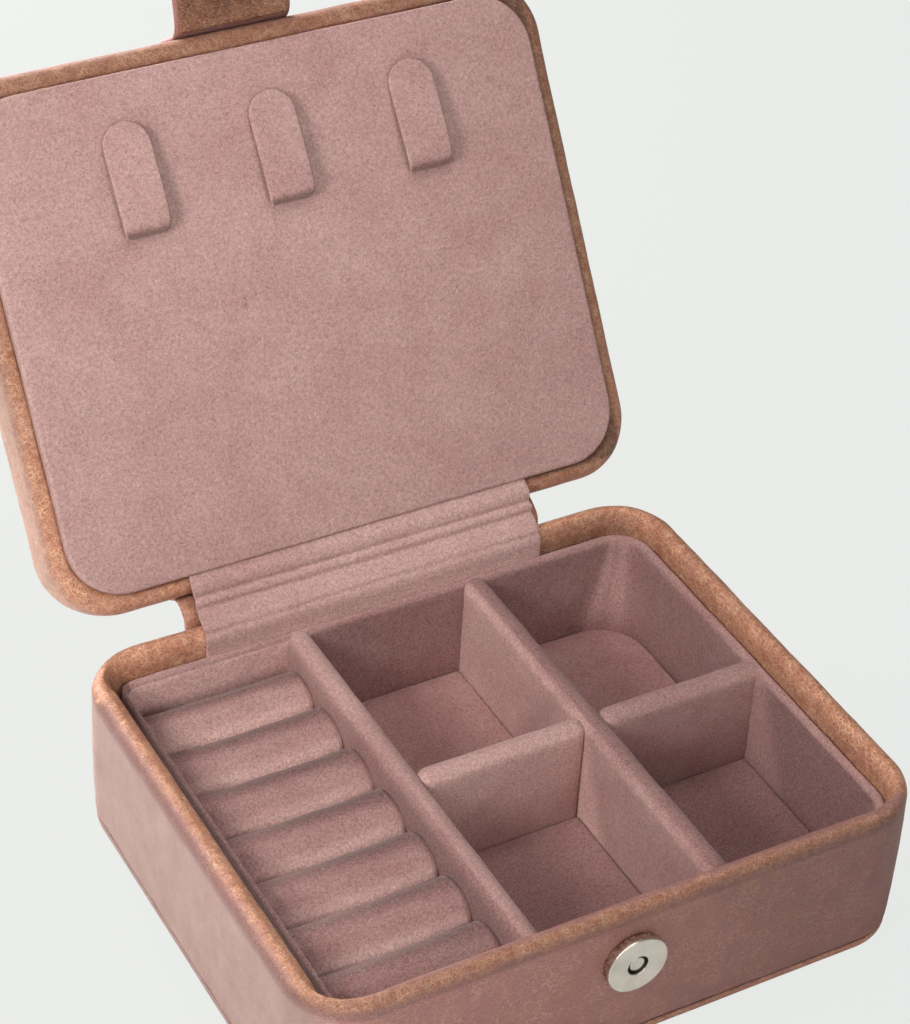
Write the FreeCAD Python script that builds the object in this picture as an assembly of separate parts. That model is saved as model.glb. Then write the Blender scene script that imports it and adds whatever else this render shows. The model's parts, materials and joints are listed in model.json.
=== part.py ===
"""Travel jewelry case: a leather-covered base and lid joined by a soft spine,
a velvet tray with ring rolls and four cells, three necklace hooks in the lid
and a strap that closes on a magnetic snap.

Millimetres. X runs along the front edge, +Y points to the spine, +Z is up.
The origin is the middle of the base's underside. The case stands open.
The lid and the strap are drawn closed and snapped, then swung open.
"""
import FreeCAD, Part
import math
import os

Vec = FreeCAD.Vector
X_AXIS = Vec(1, 0, 0)
Y_AXIS = Vec(0, 1, 0)
Z_AXIS = Vec(0, 0, 1)

# Driving dimensions
CASE_W = 145.0
CASE_D = 118.5
BASE_H = 38.0
LID_H = 14.8
CORNER_R = 14.5
LEATHER = 1.0
WALL_BOARD = 2.5
RIM_GAP = 0.8
LID_OPEN_DEG = 123.1
STRAP_OPEN_DEG = 40.0

# Walls and rims
WALL = WALL_BOARD + 2 * LEATHER
RIM_OUT_R = 2.6
RIM_IN_R = 1.7
TURN_IN = 8.0
BOTTOM_H = 2.2
BOTTOM_INSET = 0.2
BOTTOM_EDGE_R = 0.8
SKIN_EDGE_R = 0.7
FLOOR_BOARD = 2.5
LID_TOP_BOARD = 2.5
LID_TOP_R = 3.2

# Tray
LINER_INSET = 4.9
LINER_LEFT_GAP = 2.4
LINER_T = 2.0
LINER_RADII = (9.0, 6.0, 6.0, 9.0)
LINER_TOP = 32.0
LIP_R = 0.9
PAD_T = 1.5
PAD_GAP = 0.4
SIDE_DIVIDER_T = 5.7
CROSS_DIVIDER_T = 5.2
DIVIDER_TOP_R = 1.6
DIVIDER_TONGUE = 5.2
RING_DIVIDER_X = -17.8
CENTRE_DIVIDER_X = 21.5

# Ring rolls
ROLL_COUNT = 7
ROLL_PITCH = 14.5
ROLL_GAP = 0.3
ROLL_TOP = 27.0
ROLL_END_R = 1.8
BED_T = 3.0

# Lid panel and hooks
PANEL_INSET = 4.6
PANEL_R = 12.5
PANEL_PROUD = 1.66
PANEL_T = 4.2
PANEL_COVER = 0.8
PANEL_EDGE_R = 1.1
HOOK_W = 11.0
HOOK_T = 0.95
HOOK_PITCH = 34.7
HOOK_ROW_X = 0.8
HOOK_TIP_V = 103.5
HOOK_ROOT_V = 78.4

# Spine
HINGE_BACK = 2.6
HINGE_RISE = 2.7
SPINE_W = 90.0
SPINE_T = 1.2
SPINE_GAP = 0.3
SPINE_BASE_LOW = 9.0
SPINE_BASE_HIGH = 34.5
SPINE_LID_LOW = 5.7
SPINE_LID_HIGH = 11.3
LINING_W = 85.0
LINING_T = 0.7

# Strap and snap
CLOSURE_X = -1.0
SNAP_Z = 24.5
SNAP_R = 7.0
SOCKET_T = 2.8
SOCKET_HOLE_R = 2.4
SHEET_METAL = 0.4
RIVET_R = 1.1
RIVET_HEAD_R = 1.8
RIVET_HEAD_SINK = 0.45
WASHER_R = 5.2
WASHER_T = 0.5
STUD_T = 1.2
STUD_GAP = 0.3
NUB_R = 1.9
NUB_L = 0.6
STRAP_W = 28.0
STRAP_OUTER = 1.0
STRAP_INNER = 0.8
STRAP_EDGE_CLEAR = 0.3
STRAP_FOLD_H = 2.7
STRAP_JOG_H = 10.0
ANCHOR_H = 8.6

# Worked-out places
HALF_W = CASE_W / 2
HALF_D = CASE_D / 2
LID_RIM_Z = BASE_H + RIM_GAP
LID_TOP_Z = LID_RIM_Z + LID_H
HINGE_Y = HALF_D + HINGE_BACK
HINGE_Z = BASE_H + HINGE_RISE
FLOOR_Z = BOTTOM_H + FLOOR_BOARD
PAD_TOP = FLOOR_Z + PAD_T
BED_TOP = FLOOR_Z + BED_T
LINER_IN = LINER_INSET + LINER_T
INNER_RIGHT = HALF_W - LINER_IN
INNER_LEFT = LINER_IN + LINER_LEFT_GAP - HALF_W
INNER_Y = HALF_D - LINER_IN
STRAP_T = STRAP_OUTER + STRAP_INNER
FOLD_Y = -HALF_D - STRAP_EDGE_CLEAR - STRAP_T / 2
FOLD_Z = LID_RIM_Z + STRAP_FOLD_H
FRONT_Y = -HALF_D


# ---- shape helpers ----

def rounded_face(half_x, half_y, radii, z):
    """A rectangle centred on the Z axis at height z, with a radius for each corner from +X+Y on."""
    edges = []
    ends = []
    for corner, radius in enumerate(radii):
        x = (half_x - radius) * (1 if corner in (0, 3) else -1)
        y = (half_y - radius) * (1 if corner in (0, 1) else -1)
        start = 90 * corner
        points = []
        for turn in (0, 45, 90):
            a = math.radians(start + turn)
            points.append(Vec(x + radius * math.cos(a), y + radius * math.sin(a), z))
        edges.append(Part.Arc(*points).toShape())
        ends.append((points[0], points[2]))
    for i in range(4):
        here = ends[i][1]
        there = ends[(i + 1) % 4][0]
        edges.append(Part.LineSegment(here, there).toShape())
    return Part.Face(Part.Wire(Part.__sortEdges__(edges)))


def slab(inset, low, high, radius=None):
    """The case's outline drawn in by inset, between two heights."""
    r = CORNER_R - inset if radius is None else radius
    face = rounded_face(HALF_W - inset, HALF_D - inset, (r, r, r, r), low)
    return face.extrude(Vec(0, 0, high - low))


def tray_slab(inset, low, high):
    """The tray's outline drawn in by inset. The tray stands off the case's left wall."""
    radii = [r - inset for r in LINER_RADII]
    half_x = HALF_W - LINER_INSET - LINER_LEFT_GAP / 2 - inset
    face = rounded_face(half_x, HALF_D - LINER_INSET - inset, radii, low)
    face.translate(Vec(LINER_LEFT_GAP / 2, 0, 0))
    return face.extrude(Vec(0, 0, high - low))


def ring(inset_out, inset_in, low, high):
    """A closed wall between two insets of the case's outline."""
    return slab(inset_out, low, high).cut(slab(inset_in, low, high))


def level_edges(shape, z, inset=None):
    """The edges that lie flat at height z, or only those at one inset."""
    found = []
    for edge in shape.Edges:
        box = edge.BoundBox
        if abs(box.ZMin - z) > 1e-4 or abs(box.ZMax - z) > 1e-4:
            continue
        if inset is not None and not on_outline(edge, inset):
            continue
        found.append(edge)
    return found


def on_outline(edge, inset):
    """True where an edge's middle lies on the case's outline drawn in by inset."""
    middle = edge.valueAt((edge.FirstParameter + edge.LastParameter) / 2)
    radius = CORNER_R - inset
    dx = abs(middle.x) - (HALF_W - inset - radius)
    dy = abs(middle.y) - (HALF_D - inset - radius)
    if dx > 0 and dy > 0:
        away = math.hypot(dx, dy) - radius
    else:
        away = max(dx, dy) - radius
    return abs(away) < 0.05


def box(x0, x1, y0, y1, z0, z1):
    return Part.makeBox(x1 - x0, y1 - y0, z1 - z0, Vec(x0, y0, z0))


def yz(y, z):
    return Vec(0, y, z)


def spline(points):
    curve = Part.BSplineCurve()
    curve.interpolate(points)
    return curve.toShape()


def band(points, thickness, width, centre_x):
    """A strip of even thickness along a smooth line in the YZ plane, width along X."""
    line = Part.BSplineCurve()
    line.interpolate([yz(y, z) for y, z in points])
    first = []
    second = []
    steps = 4 * len(points)
    for i in range(steps + 1):
        t = line.FirstParameter + (line.LastParameter - line.FirstParameter) * i / steps
        tangent = line.tangent(t)[0]
        normal = Vec(0, -tangent.z, tangent.y) * (thickness / 2)
        first.append(line.value(t) + normal)
        second.append(line.value(t) - normal)
    edges = [
        spline(first),
        Part.LineSegment(first[-1], second[-1]).toShape(),
        spline(second),
        Part.LineSegment(second[0], first[0]).toShape(),
    ]
    face = Part.Face(Part.Wire(Part.__sortEdges__(edges)))
    face.translate(Vec(centre_x - width / 2, 0, 0))
    return face.extrude(Vec(width, 0, 0))


def disc(radius, y_back, y_front, inner=0.0):
    """A disc or washer facing the front, centred on the snap."""
    length = y_back - y_front
    start = Vec(CLOSURE_X, y_front, SNAP_Z)
    solid = Part.makeCylinder(radius, length, start, Y_AXIS)
    if inner > 0:
        solid = solid.cut(Part.makeCylinder(inner, length, start, Y_AXIS))
    return solid


def swing(shape, y, z, degrees):
    """Turn a copy about a line along X; positive opens."""
    turned = shape.copy()
    turned.rotate(Vec(0, y, z), Vec(-1, 0, 0), degrees)
    return turned


def open_lid(shape):
    return swing(shape, HINGE_Y, HINGE_Z, LID_OPEN_DEG)


def open_strap(shape):
    return open_lid(swing(shape, FOLD_Y, FOLD_Z, STRAP_OPEN_DEG))


def opened_point(y, z):
    """Where a point of the closed lid's side view goes when the lid is open."""
    a = math.radians(-LID_OPEN_DEG)
    dy = y - HINGE_Y
    dz = z - HINGE_Z
    new_y = HINGE_Y + dy * math.cos(a) - dz * math.sin(a)
    new_z = HINGE_Z + dy * math.sin(a) + dz * math.cos(a)
    return new_y, new_z


# ---- base ----

def make_bottom():
    """A leather-covered card closes the underside, with a groove above its edge."""
    cover = slab(BOTTOM_INSET, 0, BOTTOM_H)
    cover = cover.makeFillet(BOTTOM_EDGE_R, level_edges(cover, 0) + level_edges(cover, BOTTOM_H))
    card_inset = BOTTOM_INSET + LEATHER
    card = slab(card_inset, LEATHER, BOTTOM_H)
    return {"bottom_cover": cover.cut(card), "bottom_card": card}


def make_base_shell():
    """A board wall wrapped in one leather skin that turns over the rim and under the foot."""
    board_in = LEATHER + WALL_BOARD
    board_top = BASE_H - LEATHER
    board = ring(LEATHER, board_in, BOTTOM_H + LEATHER, board_top)
    board = board.makeFillet(RIM_OUT_R - LEATHER, level_edges(board, board_top, LEATHER))
    board = board.makeFillet(RIM_IN_R - LEATHER, level_edges(board, board_top, board_in))
    skin = ring(0, WALL, BOTTOM_H, BASE_H)
    skin = skin.makeFillet(RIM_OUT_R, level_edges(skin, BASE_H, 0))
    skin = skin.makeFillet(RIM_IN_R, level_edges(skin, BASE_H, WALL))
    skin = skin.makeFillet(SKIN_EDGE_R, level_edges(skin, BOTTOM_H, 0))
    skin = skin.cut(board)
    skin = skin.cut(ring(board_in, WALL + LEATHER, BOTTOM_H, BASE_H - TURN_IN))
    floor = slab(board_in, BOTTOM_H, FLOOR_Z)
    return {"base_leather": skin, "base_wall_board": board, "base_floor_board": floor}


def make_snap_socket():
    """The magnet half of the snap: a pressed case, a ring magnet, a rivet and a back washer."""
    face_y = FRONT_Y - SOCKET_T
    board_y = FRONT_Y + LEATHER + WALL_BOARD
    case = disc(SNAP_R, FRONT_Y, face_y)
    case = case.makeFillet(SHEET_METAL, front_edges(case, face_y))
    magnet_in = SOCKET_HOLE_R + SHEET_METAL
    magnet_out = SNAP_R - SHEET_METAL - 0.2
    magnet = disc(magnet_out, FRONT_Y - SHEET_METAL, face_y + SHEET_METAL, magnet_in)
    case = case.cut(disc(SOCKET_HOLE_R, FRONT_Y - SHEET_METAL, face_y))
    case = case.cut(magnet)
    washer = disc(WASHER_R, board_y + WASHER_T, board_y)
    shank = disc(RIVET_R, board_y + 2 * WASHER_T, FRONT_Y - SHEET_METAL)
    head = disc(RIVET_HEAD_R, FRONT_Y - SHEET_METAL, face_y + RIVET_HEAD_SINK)
    tail = disc(2 * RIVET_R, board_y + 2 * WASHER_T, board_y + WASHER_T)
    rivet = shank.fuse([head, tail]).removeSplitter()
    return {
        "snap_socket_case": case.cut(rivet),
        "snap_socket_magnet": magnet,
        "snap_socket_washer": washer.cut(rivet),
        "snap_socket_rivet": rivet,
    }


def front_edges(shape, y):
    return [e for e in shape.Edges if abs(e.BoundBox.YMin - y) < 1e-4 and abs(e.BoundBox.YMax - y) < 1e-4]


# ---- tray ----

def make_divider(x0, x1, y0, y1):
    """A padded divider board with a soft rounded top."""
    wall = box(x0, x1, y0, y1, FLOOR_Z, LINER_TOP)
    along_y = (y1 - y0) > (x1 - x0)
    top = []
    for edge in level_edges(wall, LINER_TOP):
        size = edge.BoundBox
        if (size.YLength if along_y else size.XLength) > SIDE_DIVIDER_T + 1:
            top.append(edge)
    return wall.makeFillet(DIVIDER_TOP_R, top)


def make_dividers():
    tongue_x = HALF_W - DIVIDER_TONGUE
    tongue_y = HALF_D - DIVIDER_TONGUE
    half_cross = CROSS_DIVIDER_T / 2
    centre_right = CENTRE_DIVIDER_X + SIDE_DIVIDER_T
    ring_left = RING_DIVIDER_X - SIDE_DIVIDER_T
    return {
        "ring_divider": make_divider(ring_left, RING_DIVIDER_X, -tongue_y, tongue_y),
        "centre_divider": make_divider(CENTRE_DIVIDER_X, centre_right, -tongue_y, tongue_y),
        "cross_divider_left": make_divider(RING_DIVIDER_X, CENTRE_DIVIDER_X, -half_cross, half_cross),
        "cross_divider_right": make_divider(centre_right, tongue_x, -half_cross, half_cross),
    }


def make_liner(dividers):
    """The velvet-covered tray wall, slotted where the dividers' ends sit in it."""
    outer = tray_slab(0, FLOOR_Z, LINER_TOP)
    outer = outer.makeFillet(LIP_R, level_edges(outer, LINER_TOP))
    hollow = tray_slab(LINER_T, FLOOR_Z, LINER_TOP)
    wall = outer.cut(hollow)
    inner_lip = []
    for edge in level_edges(wall, LINER_TOP):
        size = edge.BoundBox
        if size.XMax <= INNER_RIGHT + 0.01 and size.XMin >= INNER_LEFT - 0.01:
            if size.YMax <= INNER_Y + 0.01 and size.YMin >= -INNER_Y - 0.01:
                inner_lip.append(edge)
    wall = wall.makeFillet(LIP_R, inner_lip)
    return wall.cut(list(dividers.values()))


def tray_piece(x0, x1, y0, y1, low, high):
    """A flat piece on the tray's floor, clear of its walls and round at the tray's corners."""
    block = box(x0 + PAD_GAP, x1 - PAD_GAP, y0 + PAD_GAP, y1 - PAD_GAP, low, high)
    return block.common(tray_slab(LINER_T + PAD_GAP, low, high))


def make_cell_pads():
    """Each cell has its own velvet-covered floor card."""
    half_cross = CROSS_DIVIDER_T / 2
    columns = {
        "left": (RING_DIVIDER_X, CENTRE_DIVIDER_X),
        "right": (CENTRE_DIVIDER_X + SIDE_DIVIDER_T, INNER_RIGHT),
    }
    rows = {"front": (-INNER_Y, -half_cross), "back": (half_cross, INNER_Y)}
    pads = {}
    for row, (y0, y1) in rows.items():
        for column, (x0, x1) in columns.items():
            pads["floor_pad_%s_%s" % (row, column)] = tray_piece(x0, x1, y0, y1, FLOOR_Z, PAD_TOP)
    return pads


def make_roll(centre_y):
    """One foam ring roll: upright sides and a half-round top."""
    half = (ROLL_PITCH - ROLL_GAP) / 2
    spring_z = ROLL_TOP - half
    x0 = INNER_LEFT + PAD_GAP
    x1 = RING_DIVIDER_X - SIDE_DIVIDER_T - PAD_GAP
    corners = [
        Vec(x0, centre_y - half, spring_z),
        Vec(x0, centre_y - half, BED_TOP),
        Vec(x0, centre_y + half, BED_TOP),
        Vec(x0, centre_y + half, spring_z),
    ]
    crown = Part.Arc(corners[3], Vec(x0, centre_y, ROLL_TOP), corners[0]).toShape()
    sides = Part.makePolygon(corners)
    roll = Part.Face(Part.Wire([*sides.Edges, crown])).extrude(Vec(x1 - x0, 0, 0))
    ends = [e for e in roll.Edges if e.BoundBox.XLength < 0.01 and e.BoundBox.ZMax > ROLL_TOP - 0.01]
    roll = roll.makeFillet(ROLL_END_R, ends)
    room = tray_slab(LINER_T + PAD_GAP, BED_TOP, ROLL_TOP + 1)
    return roll.common(room)


def make_ring_bay():
    """A card bed and the row of rolls, packed against the back wall."""
    left_face = RING_DIVIDER_X - SIDE_DIVIDER_T
    nodes = {"ring_bed": tray_piece(INNER_LEFT, left_face, -INNER_Y, INNER_Y, FLOOR_Z, BED_TOP)}
    first_y = INNER_Y - PAD_GAP - (ROLL_PITCH - ROLL_GAP) / 2
    for i in range(ROLL_COUNT):
        nodes["ring_roll_%d" % (i + 1)] = make_roll(first_y - i * ROLL_PITCH)
    return nodes


# ---- lid, drawn closed ----

def make_lid_shell():
    """A board frame and top board wrapped in leather, like the base turned over."""
    board_in = LEATHER + WALL_BOARD
    board_low = LID_RIM_Z + LEATHER
    board_high = LID_TOP_Z - LEATHER
    walls_high = board_high - LID_TOP_BOARD
    walls = ring(LEATHER, board_in, board_low, walls_high)
    walls = walls.makeFillet(RIM_OUT_R - LEATHER, level_edges(walls, board_low, LEATHER))
    walls = walls.makeFillet(RIM_IN_R - LEATHER, level_edges(walls, board_low, board_in))
    top = slab(LEATHER, walls_high, board_high)
    top = top.makeFillet(LID_TOP_R - LEATHER, level_edges(top, board_high))
    skin = slab(0, LID_RIM_Z, LID_TOP_Z)
    skin = skin.makeFillet(LID_TOP_R, level_edges(skin, LID_TOP_Z))
    skin = skin.makeFillet(RIM_OUT_R, level_edges(skin, LID_RIM_Z))
    skin = skin.cut(slab(WALL, LID_RIM_Z, board_high))
    skin = skin.makeFillet(RIM_IN_R, level_edges(skin, LID_RIM_Z, WALL))
    skin = skin.cut([walls, top])
    skin = skin.cut(ring(board_in, WALL + LEATHER, LID_RIM_Z + TURN_IN, board_high))
    return {"lid_leather": skin, "lid_wall_board": walls, "lid_top_board": top}


def make_hook(centre_x):
    """A J-shaped velvet tab: out of a slit in the panel, round, and up to a rounded tip."""
    line = [
        (HOOK_ROOT_V, -1.6),
        (HOOK_ROOT_V, 1.6),
        (HOOK_ROOT_V + 0.25, 3.6),
        (HOOK_ROOT_V + 1.3, 4.75),
        (HOOK_ROOT_V + 3.6, 5.1),
        (HOOK_ROOT_V + 7.0, 5.0),
        (HOOK_ROOT_V + 12.0, 4.35),
        (HOOK_ROOT_V + 19.0, 3.2),
        (HOOK_TIP_V, 2.25),
    ]
    path = [(HALF_D - v, LID_RIM_Z - w) for v, w in line]
    tab = band(path, HOOK_T, HOOK_W, centre_x)
    half = HOOK_W / 2
    tip_y = HALF_D - HOOK_TIP_V
    low = LID_RIM_Z - 10
    arm = box(centre_x - half, centre_x + half, tip_y + half, HALF_D, low, LID_TOP_Z)
    tip = Part.makeCylinder(half, LID_TOP_Z - low, Vec(centre_x, tip_y + half, low), Z_AXIS)
    return tab.common(arm.fuse(tip))


def make_lid_inside():
    """The velvet panel over its board, the foam behind it, and the three hooks."""
    low = LID_RIM_Z - PANEL_PROUD
    high = low + PANEL_T
    cover = slab(PANEL_INSET, low, high, PANEL_R)
    cover = cover.makeFillet(PANEL_EDGE_R, level_edges(cover, low))
    board_inset = PANEL_INSET + PANEL_COVER
    board = slab(board_inset, low + PANEL_COVER, high, PANEL_R - PANEL_COVER)
    foam = slab(WALL + LEATHER, high, LID_TOP_Z - LEATHER - LID_TOP_BOARD)
    cover = cover.cut(board)
    hooks = {}
    for name, place in (("left", -1), ("middle", 0), ("right", 1)):
        hooks["hook_" + name] = make_hook(HOOK_ROW_X + place * HOOK_PITCH)
    roots = list(hooks.values())
    nodes = {
        "lid_panel_cover": cover.cut(roots),
        "lid_panel_board": board.cut(roots),
        "lid_foam": foam,
    }
    nodes.update(hooks)
    return nodes


# ---- spine ----

def make_spine():
    """The leather spine: a tab on each wall and the fold between them."""
    half = SPINE_W / 2
    outer_y = HALF_D + SPINE_T
    lid_low = LID_RIM_Z + SPINE_LID_LOW
    lid_high = LID_RIM_Z + SPINE_LID_HIGH
    base_tab = box(-half, half, HALF_D, outer_y, SPINE_BASE_LOW, SPINE_BASE_HIGH)
    lid_tab = box(-half, half, HALF_D, outer_y, lid_low, lid_high)
    middle_y = HALF_D + SPINE_T / 2
    base_side = [
        (middle_y, SPINE_BASE_HIGH + SPINE_GAP),
        (middle_y + 0.25, SPINE_BASE_HIGH + 2.0),
        (middle_y + 0.9, HINGE_Z - 2.0),
    ]
    lid_side = [
        (middle_y + 0.9, HINGE_Z + 1.6),
        (middle_y + 0.25, lid_low - 1.0),
        (middle_y, lid_low - SPINE_GAP),
    ]
    path = base_side + [opened_point(y, z) for y, z in lid_side]
    fold = band(path, SPINE_T, SPINE_W, 0)
    return {"spine_base_tab": base_tab, "spine_fold": fold}, {"spine_lid_tab": lid_tab}


def make_lining():
    """The velvet strip that covers the hinge inside, from the tray's lip to the lid's panel."""
    start_y = HALF_D - WALL - LINING_T / 2 - 0.15
    over = LINING_T / 2 + 0.2
    panel_edge = PANEL_INSET - LINING_T / 2 - 0.3
    rim_side = [
        (start_y, LINER_TOP + 0.3),
        (start_y, BASE_H - 2.4),
        (start_y + 0.8, BASE_H - 0.1),
        (start_y + 2.6, BASE_H + over),
        (HALF_D - 0.4, BASE_H + over + 0.5),
    ]
    lid_side = [
        (HALF_D - 1.4, LID_RIM_Z - over - 0.2),
        (HALF_D - panel_edge, LID_RIM_Z - over),
    ]
    path = rim_side + [opened_point(y, z) for y, z in lid_side]
    return {"hinge_lining": band(path, LINING_T, LINING_W, 0)}


# ---- strap, drawn closed ----

def strap_layer(inside, outside):
    """A layer of the strap between two offsets from its middle, positive outwards."""
    snap_y = FRONT_Y - SOCKET_T - STUD_GAP - STUD_T - STRAP_T / 2
    jog = FOLD_Y - snap_y
    bend = 2 * math.atan2(jog, STRAP_JOG_H)
    radius = STRAP_JOG_H / (2 * math.sin(bend))
    end_z = SNAP_Z - STRAP_W / 2
    upper = (FOLD_Y - radius, FOLD_Z)
    lower = (snap_y + radius, FOLD_Z - STRAP_JOG_H)

    def side(offset):
        first = arc(upper, radius - offset, 0, -bend)
        second = arc(lower, radius + offset, math.pi - bend, math.pi)
        line_top = yz(snap_y - offset, lower[1])
        line_end = yz(snap_y - offset, end_z)
        return [first, second, Part.LineSegment(line_top, line_end).toShape()]

    near = side(inside)
    far = side(outside)
    top = Part.LineSegment(yz(FOLD_Y - inside, FOLD_Z), yz(FOLD_Y - outside, FOLD_Z)).toShape()
    foot = Part.LineSegment(yz(snap_y - inside, end_z), yz(snap_y - outside, end_z)).toShape()
    edges = Part.__sortEdges__(near + far + [top, foot])
    face = Part.Face(Part.Wire(edges))
    face.translate(Vec(CLOSURE_X - STRAP_W / 2, 0, 0))
    strip = face.extrude(Vec(STRAP_W, 0, 0))
    deep = snap_y - STRAP_W
    straight = box(CLOSURE_X - STRAP_W / 2, CLOSURE_X + STRAP_W / 2, deep, 0, SNAP_Z, FOLD_Z + 1)
    tip = Part.makeCylinder(STRAP_W / 2, -deep, Vec(CLOSURE_X, deep, SNAP_Z), Y_AXIS)
    return strip.common(straight.fuse(tip))


def arc(centre, radius, start, end):
    """An arc in the YZ plane from one angle to another, in radians."""
    points = []
    for a in (start, (start + end) / 2, end):
        points.append(yz(centre[0] + radius * math.cos(a), centre[1] + radius * math.sin(a)))
    return Part.Arc(*points).toShape()


def make_strap():
    """The free flap in two leather layers, with the snap's plate, nub and hidden washer."""
    half = STRAP_T / 2
    split = half - STRAP_OUTER
    outer = strap_layer(split, half)
    inner = strap_layer(-half, split)
    plate_front = FRONT_Y - SOCKET_T - STUD_GAP - STUD_T
    plate = disc(SNAP_R, plate_front + STUD_T, plate_front)
    plate = plate.makeFillet(SHEET_METAL, front_edges(plate, plate_front + STUD_T))
    nub = disc(NUB_R, plate_front + STUD_T + NUB_L, plate_front)
    washer_back = plate_front - STRAP_INNER
    shank = disc(RIVET_R, plate_front, washer_back)
    stud = plate.fuse([nub, shank]).removeSplitter()
    washer = disc(WASHER_R, washer_back, washer_back - WASHER_T)
    return {
        "strap_leather": outer.cut(washer),
        "strap_lining": inner.cut(stud),
        "snap_stud": stud,
        "snap_stud_washer": washer,
    }


def make_anchor():
    """The end of the strap that is stitched flat on the lid's front wall."""
    low = FOLD_Z + STRAP_T / 2 + STRAP_EDGE_CLEAR
    half = STRAP_W / 2
    tab = box(CLOSURE_X - half, CLOSURE_X + half, FRONT_Y - STRAP_T, FRONT_Y, low, low + ANCHOR_H)
    return {"strap_anchor": tab}


# ---- assembly ----

def build():
    nodes = make_bottom()
    shell = make_base_shell()
    socket = make_snap_socket()
    rivet = socket["snap_socket_rivet"]
    shell["base_leather"] = shell["base_leather"].cut(rivet)
    shell["base_wall_board"] = shell["base_wall_board"].cut(rivet)
    nodes.update(shell)
    nodes.update(socket)
    dividers = make_dividers()
    nodes["tray_liner"] = make_liner(dividers)
    nodes.update(dividers)
    nodes.update(make_cell_pads())
    nodes.update(make_ring_bay())
    base_spine, lid_spine = make_spine()
    nodes.update(base_spine)
    nodes.update(make_lining())
    lid = make_lid_shell()
    lid.update(make_lid_inside())
    lid.update(lid_spine)
    lid.update(make_anchor())
    for name, shape in lid.items():
        nodes[name] = open_lid(shape)
    for name, shape in make_strap().items():
        nodes[name] = open_strap(shape)
    return nodes


def main():
    os.makedirs("parts", exist_ok=True)
    for name, shape in build().items():
        if len(shape.Solids) != 1 or not shape.isValid():
            print("check", name, "solids", len(shape.Solids), "valid", shape.isValid())
        shape.Solids[0].exportStep("parts/%s.step" % name)
        size = shape.BoundBox
        print("%-20s %8.0f mm3  x %.1f..%.1f  y %.1f..%.1f  z %.1f..%.1f" % (
            name, shape.Volume, size.XMin, size.XMax, size.YMin, size.YMax, size.ZMin, size.ZMax))
    fold = open_lid(Part.Vertex(0, FOLD_Y, FOLD_Z))
    print("lid hinge line y %.4f z %.4f" % (HINGE_Y, HINGE_Z))
    print("strap fold line y %.4f z %.4f" % (fold.Point.y, fold.Point.z))


main()
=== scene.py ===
"""Looks of the travel jewelry case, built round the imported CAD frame.

Shapes are worked out in millimetres and become metres when a mesh is made.
The lid and the strap are drawn closed, as in the CAD, then swung open.
"""

import json
import math

import bmesh
import bpy
import numpy as np
from mathutils import Matrix, Vector, noise


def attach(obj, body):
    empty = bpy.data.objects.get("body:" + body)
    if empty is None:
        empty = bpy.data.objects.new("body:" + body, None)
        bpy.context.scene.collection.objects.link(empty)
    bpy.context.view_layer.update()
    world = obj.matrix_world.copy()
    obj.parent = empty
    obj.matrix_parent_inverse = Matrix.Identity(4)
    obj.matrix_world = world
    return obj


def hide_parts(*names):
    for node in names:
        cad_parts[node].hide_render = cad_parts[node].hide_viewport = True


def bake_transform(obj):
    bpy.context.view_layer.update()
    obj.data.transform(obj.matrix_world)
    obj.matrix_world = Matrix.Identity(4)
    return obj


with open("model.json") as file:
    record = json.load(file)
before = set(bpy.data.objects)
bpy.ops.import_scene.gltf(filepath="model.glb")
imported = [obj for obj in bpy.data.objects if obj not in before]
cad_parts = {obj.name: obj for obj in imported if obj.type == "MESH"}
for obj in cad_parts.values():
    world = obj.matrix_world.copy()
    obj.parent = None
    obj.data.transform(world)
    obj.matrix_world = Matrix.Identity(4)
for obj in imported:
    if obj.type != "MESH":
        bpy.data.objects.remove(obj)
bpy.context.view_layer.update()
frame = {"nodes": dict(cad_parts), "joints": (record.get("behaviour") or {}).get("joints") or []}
NODES = frame["nodes"]
MM = 0.001


# ---- places from the frame ----

def turn_about(place, degrees):
    """A turn about a line along -X through a point; positive opens."""
    there = Matrix.Translation(Vector(place))
    return there @ Matrix.Rotation(math.radians(degrees), 4, (-1, 0, 0)) @ there.inverted()


def span(node, undo=None):
    """Lowest and highest corner of a CAD node in mm, after undoing a turn."""
    points = [v.co if undo is None else undo @ v.co for v in NODES[node].data.vertices]
    spread = np.array(points) / MM
    return spread.min(0), spread.max(0)


JOINTS = {j["name"]: j for j in frame["joints"]}
STRAP_TURN = 40.0
OPEN = turn_about(JOINTS["lid_hinge"]["pos_m"], -JOINTS["lid_hinge"]["range_deg"][0])
OPEN_STRAP = turn_about(JOINTS["strap_fold"]["pos_m"], STRAP_TURN) @ OPEN
SHUT = OPEN.inverted()
HINGE = np.array(JOINTS["lid_hinge"]["pos_m"]) / MM

HALF_W, HALF_D, BASE_H = span("base_leather")[1]
BOTTOM_H = span("bottom_cover")[1][2]
LID_LOW, LID_HIGH = span("lid_leather", SHUT)
LINER_LOW, LINER_HIGH = span("tray_liner")
PANEL_LOW, PANEL_HIGH = span("lid_panel_cover", SHUT)
LID_RIM, LID_TOP = LID_LOW[2], LID_HIGH[2]
LINER_TOP = LINER_HIGH[2]
FLOOR_Z = LINER_LOW[2]

# Read off the photo, in mm. Sets of four radii start at the +X+Y corner and run anticlockwise.
CORNER_R = 14.5
WALL = 4.5
LINER_R = (8.6, 4.8, 5.2, 7.6)
LINER_T = 2.0
BASE_INNER_R = (9.5, 6.4, 6.4, 8.5)
PANEL_R = 12.5
LEFT_LEAN = 1.5
LEFT_RIM_FALL = 0.45
LEFT_RIM_EXTRA = 1.2
DIVIDER_LET_IN = 0.6
ROLL_BACK_GAP = 1.1
HOOK_TILT = 0.4
SPLINE_STEPS = 24
SWELL_SCALE = 20.0
SWELL_FRAMES = 12
PAPER = (232, 234, 231)


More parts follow.
